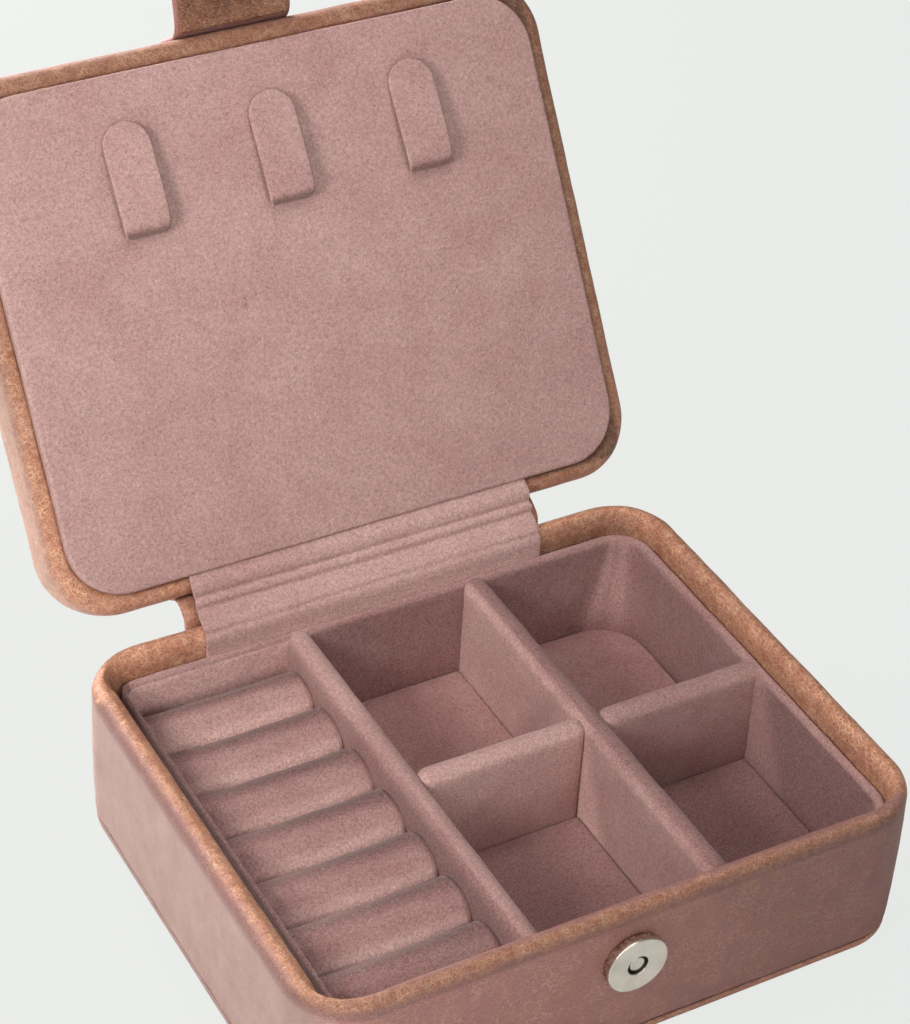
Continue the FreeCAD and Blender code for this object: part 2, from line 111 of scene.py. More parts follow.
# ---- mesh helpers ----

def polar(degrees, radius=1.0):
    a = math.radians(degrees)
    return radius * math.cos(a), radius * math.sin(a)


def put(name, data):
    """A new object in the scene."""
    obj = bpy.data.objects.new(name, data)
    bpy.context.scene.collection.objects.link(obj)
    return obj


def smoothed(mesh):
    mesh.polygons.foreach_set("use_smooth", [True] * len(mesh.polygons))
    mesh.update()
    return mesh


def mesh_of(name, work):
    mesh = bpy.data.meshes.new(name)
    work.to_mesh(mesh)
    work.free()
    return mesh


def piece_of(name, points, faces, place=None):
    """A mesh object from points in mm."""
    mesh = bpy.data.meshes.new(name)
    mesh.from_pydata([tuple(p) for p in np.asarray(points) * MM], [], faces)
    if place is not None:
        mesh.transform(place)
    return put(name, smoothed(mesh))


def grid_faces(rows, cols, close_rows=False):
    """Quads over closed rows of cols points."""
    faces = []
    for r in range(rows if close_rows else rows - 1):
        r2 = (r + 1) % rows
        for c in range(cols):
            c2 = (c + 1) % cols
            faces.append((r * cols + c, r * cols + c2, r2 * cols + c2, r2 * cols + c))
    return faces


def outline(half_x, half_y, radius, step=1.0):
    """Stations round a rounded rectangle: which corner, where on its arc or side."""
    stations = []
    arc_step = step * 0.7
    arc_n = max(6, int(radius * math.pi / 2 / arc_step))
    side_x = max(2, int(2 * (half_x - radius) / step))
    side_y = max(2, int(2 * (half_y - radius) / step))
    for corner in range(4):
        stations += [(corner, "arc", i / arc_n) for i in range(arc_n)]
        count = side_x if corner % 2 == 0 else side_y
        stations += [(corner, "side", i / count) for i in range(count)]
    return stations


def ring_at(stations, half_x, half_y, radii, inset):
    """The outline drawn in by inset, with a radius for each corner (from +X+Y, anticlockwise)."""
    hx, hy = half_x - inset, half_y - inset
    r = [max(x, 0.25) for x in radii]
    signs = [(1, 1), (-1, 1), (-1, -1), (1, -1)]
    centres = [(sx * (hx - r[i]), sy * (hy - r[i])) for i, (sx, sy) in enumerate(signs)]

    def on_arc(corner, degrees):
        x, y = polar(degrees, r[corner])
        return centres[corner][0] + x, centres[corner][1] + y

    points = []
    for corner, kind, t in stations:
        if kind == "arc":
            points.append(on_arc(corner, 90 * corner + 90 * t))
        else:
            x0, y0 = on_arc(corner, 90 * corner + 90)
            x1, y1 = on_arc((corner + 1) % 4, 90 * corner + 90)
            points.append((x0 + (x1 - x0) * t, y0 + (y1 - y0) * t))
    return np.array(points)


def even_radii(radius):
    """Corner radii that shrink as the outline is drawn in."""
    return lambda inset, z: [radius - inset] * 4


def rows_of(stations, half_x, half_y, profile, radii):
    rows = []
    for inset, z in profile:
        flat = ring_at(stations, half_x, half_y, radii(inset, z), inset)
        rows.append(np.column_stack([flat, np.full(len(flat), z)]))
    return rows


def sweep(name, half_x, half_y, radii, profile, step=1.0, centre=(0, 0)):
    """A closed profile of (inset, z) carried round the outline."""
    stations = outline(half_x, half_y, max(radii(0, 0)), step)
    rows = rows_of(stations, half_x, half_y, profile, radii)
    return piece_of(name, np.concatenate(rows) + (*centre, 0), grid_faces(len(rows), len(stations), True))


def set_marks(obj, name, values):
    made = obj.data.attributes.new(name, "FLOAT", "POINT")
    made.data.foreach_set("value", np.asarray(values, np.float32))


def plate(name, half_x, half_y, radii, edge, step=1.2, place=None, centre=(0, 0)):
    """A flat piece: an edge profile of (inset, z), then rings that close both faces."""
    stations = outline(half_x, half_y, max(radii(0, 0)), step)
    small = min(half_x, half_y)
    inward = np.arange(edge[-1][0] + step, small - step / 2, step)
    tops = [(d, edge[-1][1]) for d in inward]
    lows = [(d, edge[0][1]) for d in inward[::-1]]
    rows = rows_of(stations, half_x, half_y, lows + list(edge) + tops, radii)
    for end in (0, -1):
        line = rows[end].copy()
        line[:, 1 if half_x >= half_y else 0] = 0
        rows.insert(0 if end == 0 else len(rows), line)
    points = np.concatenate(rows) + (*centre, 0)
    obj = piece_of(name, points, grid_faces(len(rows), len(stations)), place)
    weld(obj, 0.02)
    return obj


def weld(obj, gap):
    """Join points closer than gap, drop what collapses, and face everything outwards."""
    work = bmesh.new()
    work.from_mesh(obj.data)
    if gap:
        bmesh.ops.remove_doubles(work, verts=work.verts, dist=gap * MM)
        bmesh.ops.dissolve_degenerate(work, edges=work.edges, dist=gap * MM * 0.1)
    bmesh.ops.recalc_face_normals(work, faces=work.faces)
    work.to_mesh(obj.data)
    work.free()
    smoothed(obj.data)


def spread_steps(low, high, radius, step):
    """Stations along one side of a soft box, closer together at its rounded ends."""
    near = [radius * (1 - math.cos(math.radians(a))) for a in (0, 22.5, 45, 67.5, 90)]
    count = max(2, int((high - low - 2 * radius) / step))
    middle = list(np.linspace(low + radius, high - radius, count + 1))[1:-1]
    return [low + d for d in near] + middle + [high - d for d in reversed(near)]


def soft_box(name, low, high, radius, step=1.0):
    """A box with every edge rounded, as a dense mesh of one skin."""
    axes = [spread_steps(low[i], high[i], radius, step) for i in range(3)]
    work = bmesh.new()
    for axis in range(3):
        u, v = [i for i in range(3) if i != axis]
        for side in (low[axis], high[axis]):
            made = {}
            for i, a in enumerate(axes[u]):
                for j, b in enumerate(axes[v]):
                    p = [0, 0, 0]
                    p[axis], p[u], p[v] = side, a, b
                    made[i, j] = work.verts.new(p)
            for i in range(len(axes[u]) - 1):
                for j in range(len(axes[v]) - 1):
                    work.faces.new((made[i, j], made[i + 1, j], made[i + 1, j + 1], made[i, j + 1]))
    bmesh.ops.remove_doubles(work, verts=work.verts, dist=0.001)
    bmesh.ops.recalc_face_normals(work, faces=work.faces)
    inner_low = Vector(low) + Vector((radius,) * 3)
    inner_high = Vector(high) - Vector((radius,) * 3)
    for v in work.verts:
        core = Vector([min(max(v.co[i], inner_low[i]), inner_high[i]) for i in range(3)])
        out = v.co - core
        if out.length > 1e-6:
            v.co = core + out.normalized() * radius
        v.co *= MM
    return put(name, smoothed(mesh_of(name, work)))


def ruffle(obj, amount, size, seed=0.0):
    """Push a mesh in and out along its normals by smooth noise, in mm."""
    shift = Vector((seed * 7.3, seed * 3.1, seed * 5.7))
    moved = []
    for v in obj.data.vertices:
        wave = noise.noise(v.co / (size * MM) + shift)
        wave += 0.5 * noise.noise(v.co / (size * MM * 0.45) + shift)
        moved.append(v.co + v.normal * (wave * amount * MM))
    for v, co in zip(obj.data.vertices, moved):
        v.co = co
    obj.data.update()


def smooth_line(points, step):
    """Even stations along a smooth line through (y, z) points, with their lengths."""
    p = np.array(points, float)
    full = np.vstack([2 * p[0] - p[1], p, 2 * p[-1] - p[-2]])
    fine = []
    for i in range(1, len(full) - 2):
        a, b, c, d = full[i - 1:i + 3]
        for t in np.linspace(0, 1, SPLINE_STEPS, endpoint=False):
            fine.append(0.5 * (2 * b + (c - a) * t + (2 * a - 5 * b + 4 * c - d) * t ** 2
                               + (3 * b - a - 3 * c + d) * t ** 3))
    fine.append(p[-1])
    fine = np.array(fine)
    run = np.concatenate([[0], np.cumsum(np.linalg.norm(np.diff(fine, axis=0), axis=1))])
    even = np.linspace(0, run[-1], max(3, int(run[-1] / step) + 1))
    return np.column_stack([np.interp(even, run, fine[:, k]) for k in (0, 1)]), even


def ribbon(name, path, centre_x, thickness, half_width, step, across, offset=0.0, lift=None, place=None):
    """A band along a (y, z) line. half_width and lift may be functions of the length."""
    line, run = smooth_line(path, step)
    tangent = np.gradient(line, axis=0)
    tangent /= np.linalg.norm(tangent, axis=1)[:, None]
    normal = np.column_stack([-tangent[:, 1], tangent[:, 0]])
    width = half_width if callable(half_width) else (lambda s, side: half_width)
    r = thickness / 2
    flat_n = max(2, int(2 * width(0, 1) / across))
    flat = np.linspace(-1, 1, flat_n + 1)
    bend = [polar(a) for a in (60, 30, 0, -30, -60)]
    spots = [(t, 0.0, 1.0) for t in flat] + [(1, out, up) for out, up in bend]
    spots += [(-t, 0.0, -1.0) for t in flat] + [(-1, out, -up) for out, up in bend]
    points, lengths = [], []
    for (y, z), (ny, nz), s in zip(line, normal, run):
        for t, out, up in spots:
            side = 1 if t > 0 else -1
            reach = max(width(s, side) - r, 0.05)
            x = t * reach + side * out * r
            high = up * r + offset + (lift(s, x) if lift else 0.0)
            points.append((centre_x + x, y + ny * high, z + nz * high))
            lengths.append(s)
    cols = len(spots)
    faces = grid_faces(len(line), cols)
    faces.append(tuple(reversed(range(cols))))
    last = (len(line) - 1) * cols
    faces.append(tuple(range(last, last + cols)))
    obj = piece_of(name, points, faces, place)
    weld(obj, 0)
    set_marks(obj, "along", lengths)
    return obj


def lathe(name, profile, centre, turns=96):
    """A shape of (radius, y) spun about a line along Y."""
    around = [2 * math.pi * i / turns for i in range(turns)]
    points = [(centre[0] + r * math.cos(a), centre[1] + y, centre[2] + r * math.sin(a))
              for r, y in profile for a in around]
    obj = piece_of(name, points, grid_faces(len(profile), turns))
    weld(obj, 0.004)
    return obj


# ---- node materials ----

class Nodes:
    """Short calls for building a node material."""

    def __init__(self, name):
        self.material = bpy.data.materials.new(name)
        self.material.use_nodes = True
        self.tree = self.material.node_tree
        self.shader = self.tree.nodes["Principled BSDF"]

    def add(self, kind, **inputs):
        node = self.tree.nodes.new("ShaderNode" + kind)
        for key, value in inputs.items():
            if hasattr(node, key):
                setattr(node, key, value)
            else:
                self.feed(node, key.replace("_", " "), value)
        return node

    def feed(self, node, key, value):
        socket = node.inputs[int(key[1:])] if key[0] == "i" and key[1:].isdigit() else node.inputs[key]
        if isinstance(value, bpy.types.NodeSocket):
            self.tree.links.new(value, socket)
        else:
            socket.default_value = value

    def set(self, **inputs):
        for key, value in inputs.items():
            self.feed(self.shader, key.replace("_", " "), value)

    def coords(self):
        return self.add("TexCoord").outputs["Object"]

    def scaled(self, vector, by):
        node = self.add("Mapping", Vector=vector)
        node.inputs["Scale"].default_value = by
        return node.outputs[0]

    def noise(self, vector, scale, detail=2.0, rough=0.5, output="Fac"):
        node = self.add("TexNoise", Vector=vector, Scale=scale, Detail=detail, Roughness=rough)
        return node.outputs[output]

    def math(self, operation, a, b=0.0, clamp=False):
        node = self.add("Math", operation=operation, use_clamp=clamp)
        self.feed(node, "i0", a)
        self.feed(node, "i1", b)
        return node.outputs[0]

    def times(self, a, b, clamp=False):
        return self.math("MULTIPLY", a, b, clamp)

    def remap(self, value, low, high, to_low=0.0, to_high=1.0):
        node = self.add("MapRange", Value=value)
        for key, number in zip(("From Min", "From Max", "To Min", "To Max"), (low, high, to_low, to_high)):
            node.inputs[key].default_value = number
        return node.outputs[0]

    def mix(self, share, a, b, blend="MIX"):
        node = self.add("Mix", data_type="RGBA", blend_type=blend)
        for key, value in (("i0", share), ("i6", a), ("i7", b)):
            self.feed(node, key, value)
        return node.outputs[2]

    def grey(self, value):
        node = self.add("CombineColor")
        for key in ("Red", "Green", "Blue"):
            self.feed(node, key, value)
        return node.outputs[0]

    def warp(self, vector, by, scale):
        """Coordinates pushed about by noise, so that patterns aren't regular."""
        push = self.add("VectorMath", operation="SUBTRACT")
        self.feed(push, "i0", self.noise(vector, scale, output="Color"))
        push.inputs[1].default_value = (0.5, 0.5, 0.5)
        size = self.add("VectorMath", operation="SCALE")
        self.feed(size, "i0", push.outputs[0])
        size.inputs["Scale"].default_value = by
        total = self.add("VectorMath", operation="ADD")
        self.feed(total, "i0", vector)
        self.feed(total, "i1", size.outputs[0])
        return total.outputs[0]

    def cracks(self, vector, scale, width):
        """Thin lines of 1 on 0 between the cells of a Voronoi pattern."""
        node = self.add("TexVoronoi", feature="DISTANCE_TO_EDGE", Vector=vector, Scale=scale)
        return self.remap(node.outputs["Distance"], 0.0, width, 1.0, 0.0)

    def attribute(self, name):
        return self.add("Attribute", attribute_name=name).outputs["Fac"]

    def bump(self, height, distance, strength=1.0, after=None):
        node = self.add("Bump", Height=height, Strength=strength)
        node.inputs["Distance"].default_value = distance
        if after is not None:
            self.feed(node, "Normal", after)
        return node.outputs[0]


def rgb(red, green, blue):
    """A colour given as it looks on screen, 0 to 255."""
    made = []
    for c in (red, green, blue):
        c /= 255
        made.append(c / 12.92 if c <= 0.04045 else ((c + 0.055) / 1.055) ** 2.4)
    return (*made, 1.0)


def camera_sees(tree, share, usual, seen, output):
    """Mix in a shader that only what the camera sees directly is lit by."""
    both = tree.nodes.new("ShaderNodeMixShader")
    for source, socket in zip((share, usual, seen), both.inputs):
        tree.links.new(source, socket)
    tree.links.new(both.outputs[0], tree.nodes[output].inputs["Surface"])


def velvet(name, tone=(186, 153, 147), dark=(164, 121, 118)):
    """Short-pile velvet suede: speckled pile, brushed patches and a soft sheen, with painted light and
    shade from its marks.
    """
    n = Nodes(name)
    at = n.coords()
    brushed = n.noise(n.warp(at, 0.01, 60), 70, 5.0, 0.62)
    # Painted light and shade: the nap mark, set from place and facing, pushes the colour between dark and
    # tone; on velvet the tan mark is painted shade, and painted light where it is negative.
    nap_and_painted_light = n.attribute("nap_and_painted_light")
    patches = n.remap(brushed, 0.27, 0.73, 0.2, 0.8)
    patch_and_painted_light = n.math("ADD", patches, n.remap(nap_and_painted_light, 0.6, 1.3, -0.55, 0.35))
    patch_and_painted_light = n.math("SUBTRACT", patch_and_painted_light, n.attribute("tan"), clamp=True)
    colour = n.mix(patch_and_painted_light, rgb(*dark), rgb(*tone))
    fine = n.noise(at, 3900, 2.0, 0.75)
    coarse = n.noise(n.warp(at, 0.0006, 900), 1500, 2.0, 0.6)
    pile = n.math("ADD", n.times(fine, 0.62), n.times(coarse, 0.38))
    shade = n.remap(pile, 0.34, 0.66, 0.56, 1.44)
    # The same painted light and shade scales the pile's brightness.
    shade = n.times(shade, nap_and_painted_light)
    colour = n.mix(1.0, colour, n.grey(shade), "MULTIPLY")
    ash = n.remap(n.noise(at, 2400, 2.0, 0.6), 0.5, 0.72, 0.0, 0.5)
    colour = n.mix(ash, colour, rgb(176, 156, 147))
    n.set(Base_Color=colour, Roughness=0.92)
    n.set(**{"Specular IOR Level": 0.12, "Sheen Weight": 0.28, "Sheen Roughness": 0.42,
             "Sheen Tint": (1.0, 0.92, 0.89, 1.0)})
    fibres = n.bump(pile, 0.00016, 0.8)
    n.set(Normal=n.bump(brushed, 0.0006, 0.3, fibres))
    return n.material


def leather(name, wall=(162, 114, 108), rim=(170, 112, 84), threads=(226, 186, 152), stretch=(0.36, 1, 1),
            crackle=(0.1, 0.4)):
    """Waxed leather: mauve walls, tan where it is stretched over a rim, fine pale crackle, a painted pale
    sheen where marked, and painted light and shade scaling the colour.
    """
    n = Nodes(name)
    at = n.coords()
    loose = n.warp(n.warp(at, 0.003, 300), 0.0004, 1300)
    clouds = n.remap(n.noise(at, 42, 5.0, 0.65), 0.3, 0.7)
    mottle = n.remap(n.noise(at, 520, 4.0, 0.7), 0.32, 0.68)
    edge = n.remap(n.noise(at, 230, 6.0, 0.75), 0.3, 0.7, -0.42, 0.42)
    tan = n.math("ADD", n.attribute("tan"), edge, clamp=True)
    colour = n.mix(clouds, rgb(*[c * 0.92 for c in wall]), rgb(*wall))
    deep = rgb(rim[0] * 0.88, rim[1] * 0.80, rim[2] * 0.74)
    colour = n.mix(tan, colour, n.mix(mottle, deep, rgb(rim[0] * 1.06, rim[1] * 1.1, rim[2] * 1.16)))
    wall_lines = n.cracks(n.scaled(loose, stretch), 1250, 0.09)
    worn = n.remap(n.noise(at, 120, 4.0, 0.65), 0.40, 0.62, *crackle)
    wall_share = n.times(wall_lines, worn)
    colour = n.mix(wall_share, colour, rgb(216, 178, 160))
    fine_net = n.times(n.cracks(loose, 1500, 0.12), 0.7)
    net = n.math("MAXIMUM", n.cracks(loose, 600, 0.07), fine_net)
    patch = n.remap(n.noise(at, 260, 3.0, 0.6), 0.32, 0.62, 0.3, 1.0)
    rim_share = n.times(n.times(net, patch), tan, clamp=True)
    colour = n.mix(n.times(rim_share, 0.8), colour, rgb(*threads))
    grain = n.noise(loose, 2600, 3.0, 0.65)
    colour = n.mix(1.0, colour, n.grey(n.remap(grain, 0.3, 0.7, 0.78, 1.22)), "MULTIPLY")
    # Painted sheen: a pale greyish colour mixed in, in clouds, where the waxed leather is marked as facing
    # the light.
    cloudy = n.remap(n.noise(at, 150, 5.0, 0.7), 0.32, 0.68, 0.65, 1.35)
    colour = n.mix(n.times(n.attribute("painted_sheen_and_shade"), cloudy), colour, rgb(206, 178, 170))
    # Painted light and shade: the colour scaled per point by the shade mark.
    colour = n.mix(1.0, colour, n.grey(n.attribute("shade")), "MULTIPLY")
    n.set(Base_Color=colour, Roughness=n.remap(grain, 0.3, 0.7, 0.48, 0.68))
    n.set(**{"Specular IOR Level": 0.3, "Coat Weight": 0.05, "Coat Roughness": 0.4})
    height = n.math("SUBTRACT", n.times(grain, 0.8), n.times(wall_lines, 0.5))
    fine = n.bump(height, 0.00009, 0.8)
    n.set(Normal=n.bump(net, 0.00007, 0.4, fine))
    return n.material


def metal(name, tone, rough, brushed=0.0):
    """Plated metal, brushed round its middle, with fine scuffs, painted glints and painted shade where
    marked.
    """
    n = Nodes(name)
    at = n.coords()
    scuffs = n.noise(at, 900, 4.0, 0.7)
    cloud = n.remap(n.noise(at, 160, 3.0), 0.35, 0.65)
    colour = n.mix(cloud, rgb(*[c * 0.92 for c in tone]), rgb(*tone))
    # Painted glints: pale, warm flecks standing in for reflections where marked.
    glints = n.mix(n.remap(n.noise(at, 1100, 3.0, 0.7), 0.42, 0.58), rgb(160, 132, 100), rgb(255, 250, 230))
    colour = n.mix(n.attribute("tan"), colour, glints)
    # Painted shade: darkened where marked, as in the gap round the rivet.
    colour = n.mix(n.attribute("painted_sheen_and_shade"), colour, rgb(52, 44, 38))
    n.set(Base_Color=colour, Metallic=1.0)
    n.set(Roughness=n.remap(scuffs, 0.3, 0.7, rough * 0.92, rough * 1.1))
    radial = n.add("Tangent", direction_type="RADIAL", axis="Y")
    n.set(Anisotropic=brushed, Tangent=radial.outputs[0])
    return n.material


def plain_stuff(name, tone, speck, scale, rough):
    """Board, foam and other hidden stuff: flecked and slightly rough."""
    n = Nodes(name)
    at = n.coords()
    flecks = n.noise(at, scale, 4.0, 0.7)
    n.set(Base_Color=n.mix(n.remap(flecks, 0.4, 0.66), rgb(*tone), rgb(*speck)), Roughness=rough)
    n.set(Normal=n.bump(flecks, 0.0002, 0.7))
    return n.material


STUFF = {
    "velvet": velvet("velvet"),
    "leather": leather("leather"),
    "strap_leather_inside": leather("strap_inside", wall=(100, 62, 46), rim=(128, 80, 56),
                                    threads=(190, 142, 108), stretch=(0.4, 1.5, 1.5), crackle=(0.3, 0.8)),
    "nickel": metal("nickel", (218, 212, 202), rough=0.32, brushed=0.5),
    "magnet": metal("magnet", (88, 84, 82), rough=0.4),
    "washer_steel": metal("washer_steel", (170, 168, 164), rough=0.3),
    "board": plain_stuff("board", (160, 146, 124), (120, 106, 88), scale=900, rough=0.9),
    "foam": plain_stuff("foam", (226, 222, 212), (190, 184, 172), scale=1400, rough=0.95)}


def dress(obj, slot):
    obj.data.materials.clear()
    obj.data.materials.append(STUFF[slot])


def finish(obj, slot, body=None, stands_for=()):
    """Marks, slot with its material, body and the CAD nodes the piece stands for."""
    for mark, usual in (("nap_and_painted_light", 1.0), ("shade", 1.0), ("tan", 0.0), ("painted_sheen_and_shade", 0.0)):
        if mark not in obj.data.attributes:
            set_marks(obj, mark, [usual] * len(obj.data.vertices))
    dress(obj, slot)
    if body is not None:
        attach(obj, body)
    if stands_for:
        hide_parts(*stands_for)


def upright(inset, low, high, count):
    """Points of (inset, z) on a straight line up."""
    return [(inset, z) for z in np.linspace(low, high, count)]


def arc_points(centre, radius, start, end, count):
    """Points of (inset, z) on an arc, angles in degrees."""
    turned = [polar(a, radius) for a in np.linspace(start, end, count)]
    return [(centre[0] + x, centre[1] + z) for x, z in turned]


def brush(obj, rule, mark="nap_and_painted_light"):
    """Set a mark at each point from its place and normal; most marks are painted light and shade, some the
    leather's tan.
    """
    obj.data.update()
    set_marks(obj, mark, [rule(v.co / MM, v.normal) for v in obj.data.vertices])


def hump(x, width):
    """1 at x = 0, falling away smoothly on both sides."""
    return math.exp(-(x / width) ** 2)


def between(value, low, high, at_low, at_high):
    """Run smoothly from one number to another as value goes from low to high."""
    return at_low + (at_high - at_low) * soft_step((value - low) / (high - low))


# ---- base ----

RING_X = span("ring_divider")[1][0]
CENTRE_X = span("centre_divider")[1][0]


def soft_step(t):
    t = min(1.0, max(0.0, t))
    return t * t * (3 - 2 * t)


def turned_radii(targets):
    """Corner radii that run from the outer outline to their own radius inside the wall."""
    def radii(inset, z):
        share = soft_step((inset - 1.5) / (WALL - 1.5))
        return [CORNER_R - inset + (t - (CORNER_R - WALL)) * share for t in targets]
    return radii


def tan_of(inset, below):
    """How far the leather has turned tan: all of the rim's crest, fading down the outside."""
    if inset > 2.0:
        return 1.0
    return min(1.0, max(0.0, 1.1 - below / 2.5))


def dull_edges(obj):
    """Tan on the crest only at the left, and in a narrow line along the front, weakest at the right."""
    marks = obj.data.attributes["tan"].data
    for v, mark in zip(obj.data.vertices, marks):
        p = v.co / MM
        if p.y < 5 - HALF_D and p.z > BASE_H - 6:
            off = abs((p.y + HALF_D) - 1.0) / 1.5
            line = max(0.0, 1 - off ** 2) * between(p.x, -55, 60, 1.0, 0.7)
            share = between(p.x, -HALF_W, -45, 0.0, 1.0)
            mark.value = mark.value * (1 - share) + min(mark.value, line) * share
        elif p.x < 6 - HALF_W and p.y < HALF_D - 16:
            mark.value = min(mark.value, between(p.x + HALF_W, 0.5, 2.2, 0.0, 1.0))


def back_painted_shade(n):
    """Painted shade: leather that faces backwards lies in the strong light behind the case, so its colour
    is darkened.
    """
    return between(n.y, 0.3, 0.9, 1.0, 0.6)


def left_painted_sheen(p, n):
    """Painted sheen: the pale, greyish look of the waxed leather on the left-hand walls, which face the
    light.
    """
    return between(n.x, -0.95, -0.5, 0.42, 0.0) if p.x < 0 else 0.0


def left_inset(p):
    """How far a point lies inside the base's rounded outline."""
    x, y = p.x + HALF_W, HALF_D - abs(p.y)
    if max(x, y) < CORNER_R:
        return CORNER_R - math.hypot(CORNER_R - x, CORNER_R - y)
    return min(x, y)


def make_base_shell():
    """Leather over the base's walls: up from the foot, over the rim and down inside."""
    out_r, in_r, in_drop = 2.4, 2.1, 3.4
    foot = [(3.4, BOTTOM_H + 0.15), (1.6, BOTTOM_H + 0.1)]
    foot += arc_points((0.9, BOTTOM_H + 0.95), 0.85, 270, 180, 5)
    wall = [(-0.3 * math.sin(math.pi * t), BOTTOM_H + 1 + t * (BASE_H - BOTTOM_H - 4.2))
            for t in np.linspace(0.04, 1, 30)]
    rim = arc_points((out_r, BASE_H - out_r), out_r, 180, 90, 12)[1:]
    rim += [(WALL - in_r * (1 - math.cos(a)), BASE_H - in_drop * (1 - math.sin(a)))
            for a in np.linspace(math.pi / 2, 0, 12)[1:]]
    inner_low = BASE_H - 13
    inner = upright(WALL, BASE_H - in_drop, inner_low, 10)[1:]
    back = [(3.6, inner_low), (3.6, BASE_H - 3), (1.2, BASE_H - 3),
            (1.2, BOTTOM_H + 2), (3.4, BOTTOM_H + 2)]
    profile = foot + wall + rim + inner + back
    marks = [tan_of(inset, BASE_H - z) for inset, z in profile]
    shell = sweep("base_skin", HALF_W, HALF_D, turned_radii(BASE_INNER_R), profile, 0.9)
    set_marks(shell, "tan", np.repeat(marks, len(shell.data.vertices) // len(profile)))
    for v in shell.data.vertices:
        inset = left_inset(v.co / MM)
        near = between(v.co.x / MM + HALF_W, 10, 26, 1.0, 0.0) if v.co.z / MM > inner_low - 1 else 0.0
        v.co.x += between(inset, 1.8, 4.2, 0.0, LEFT_RIM_EXTRA) * near * MM
        v.co.z -= between(inset, 2.6, 3.4, 0.0, LEFT_RIM_FALL) * near * MM
        if inset > WALL - 0.4:
            v.co.x += between(v.co.z / MM, BASE_H - 6.5, BASE_H - in_drop, LEFT_LEAN, 0.0) * near * MM
    ruffle(shell, 0.12, 9, 1)
    dull_edges(shell)

    # Painted light and shade: a painted shadow in the groove above the bottom, left-facing walls darkened,
    # the front darker towards the right, the rim darker near the front and at the left, lighter at the back
    # and right, backward faces darkened.
    def shade(p, n):
        groove = between(p.z, BOTTOM_H + 0.1, BOTTOM_H + 0.8, 0.3, 1.0)
        left = between(n.x, -0.95, -0.4, 0.72, 1.0) if p.x < 0 else 1.0
        front = between(n.y, -0.9, -0.3, between(p.x, -HALF_W, HALF_W, 1.12, 0.68), 1.0)
        if p.z < BASE_H - 4:
            return left * front * groove * back_painted_shade(n)
        near_front = between(p.y, -HALF_D, -HALF_D + 9, between(p.x, -40, 30, 0.71, 0.78), 1.0)
        left_rim = between(p.x, -HALF_W, 10 - HALF_W, 0.84, 1.0) if p.y < HALF_D - 14 else 1.0
        back = between(p.y, HALF_D - 20, HALF_D - 4, 1.0, between(p.x, 20, 50, 1.16, 1.28))
        right = between(p.x, HALF_W - 10, HALF_W - 4, 1.0, 1.1)
        return left * front * left_rim * max(back, right) * near_front

    brush(shell, shade, "shade")
    # Painted sheen on the left-facing wall, fading out at the rim.
    brush(shell, lambda p, n: left_painted_sheen(p, n) * between(p.z, BASE_H - 5, BASE_H - 2, 1, 0), "painted_sheen_and_shade")
    finish(shell, "leather", "base", ["base_leather", "base_wall_board"])


def make_bottom():
    edge = [(3, 0.02), (1.6, 0.0)] + arc_points((1.05, 0.85), 0.85, 270, 180, 6)
    edge += arc_points((1.05, BOTTOM_H - 0.85), 0.85, 180, 90, 6) + [(3, BOTTOM_H)]
    bottom = plate("bottom_skin", HALF_W, HALF_D, even_radii(CORNER_R), edge, 1.6)
    ruffle(bottom, 0.03, 9, 2)
    brush(bottom, lambda p, n: between(p.x, -HALF_W, 12 - HALF_W, 0.0, 0.6), "tan")
    # Painted shadow in the groove under the wall, painted shade on left-facing rounding, and painted sheen
    # on the left.
    brush(bottom, lambda p, n: between(p.z, BOTTOM_H - 0.45, BOTTOM_H - 0.05, 1.05, 0.3)
          * between(n.x, -0.9, -0.3, 0.66, 1.0), "shade")
    brush(bottom, left_painted_sheen, "painted_sheen_and_shade")
    finish(bottom, "leather", "base", ["bottom_cover", "bottom_card"])


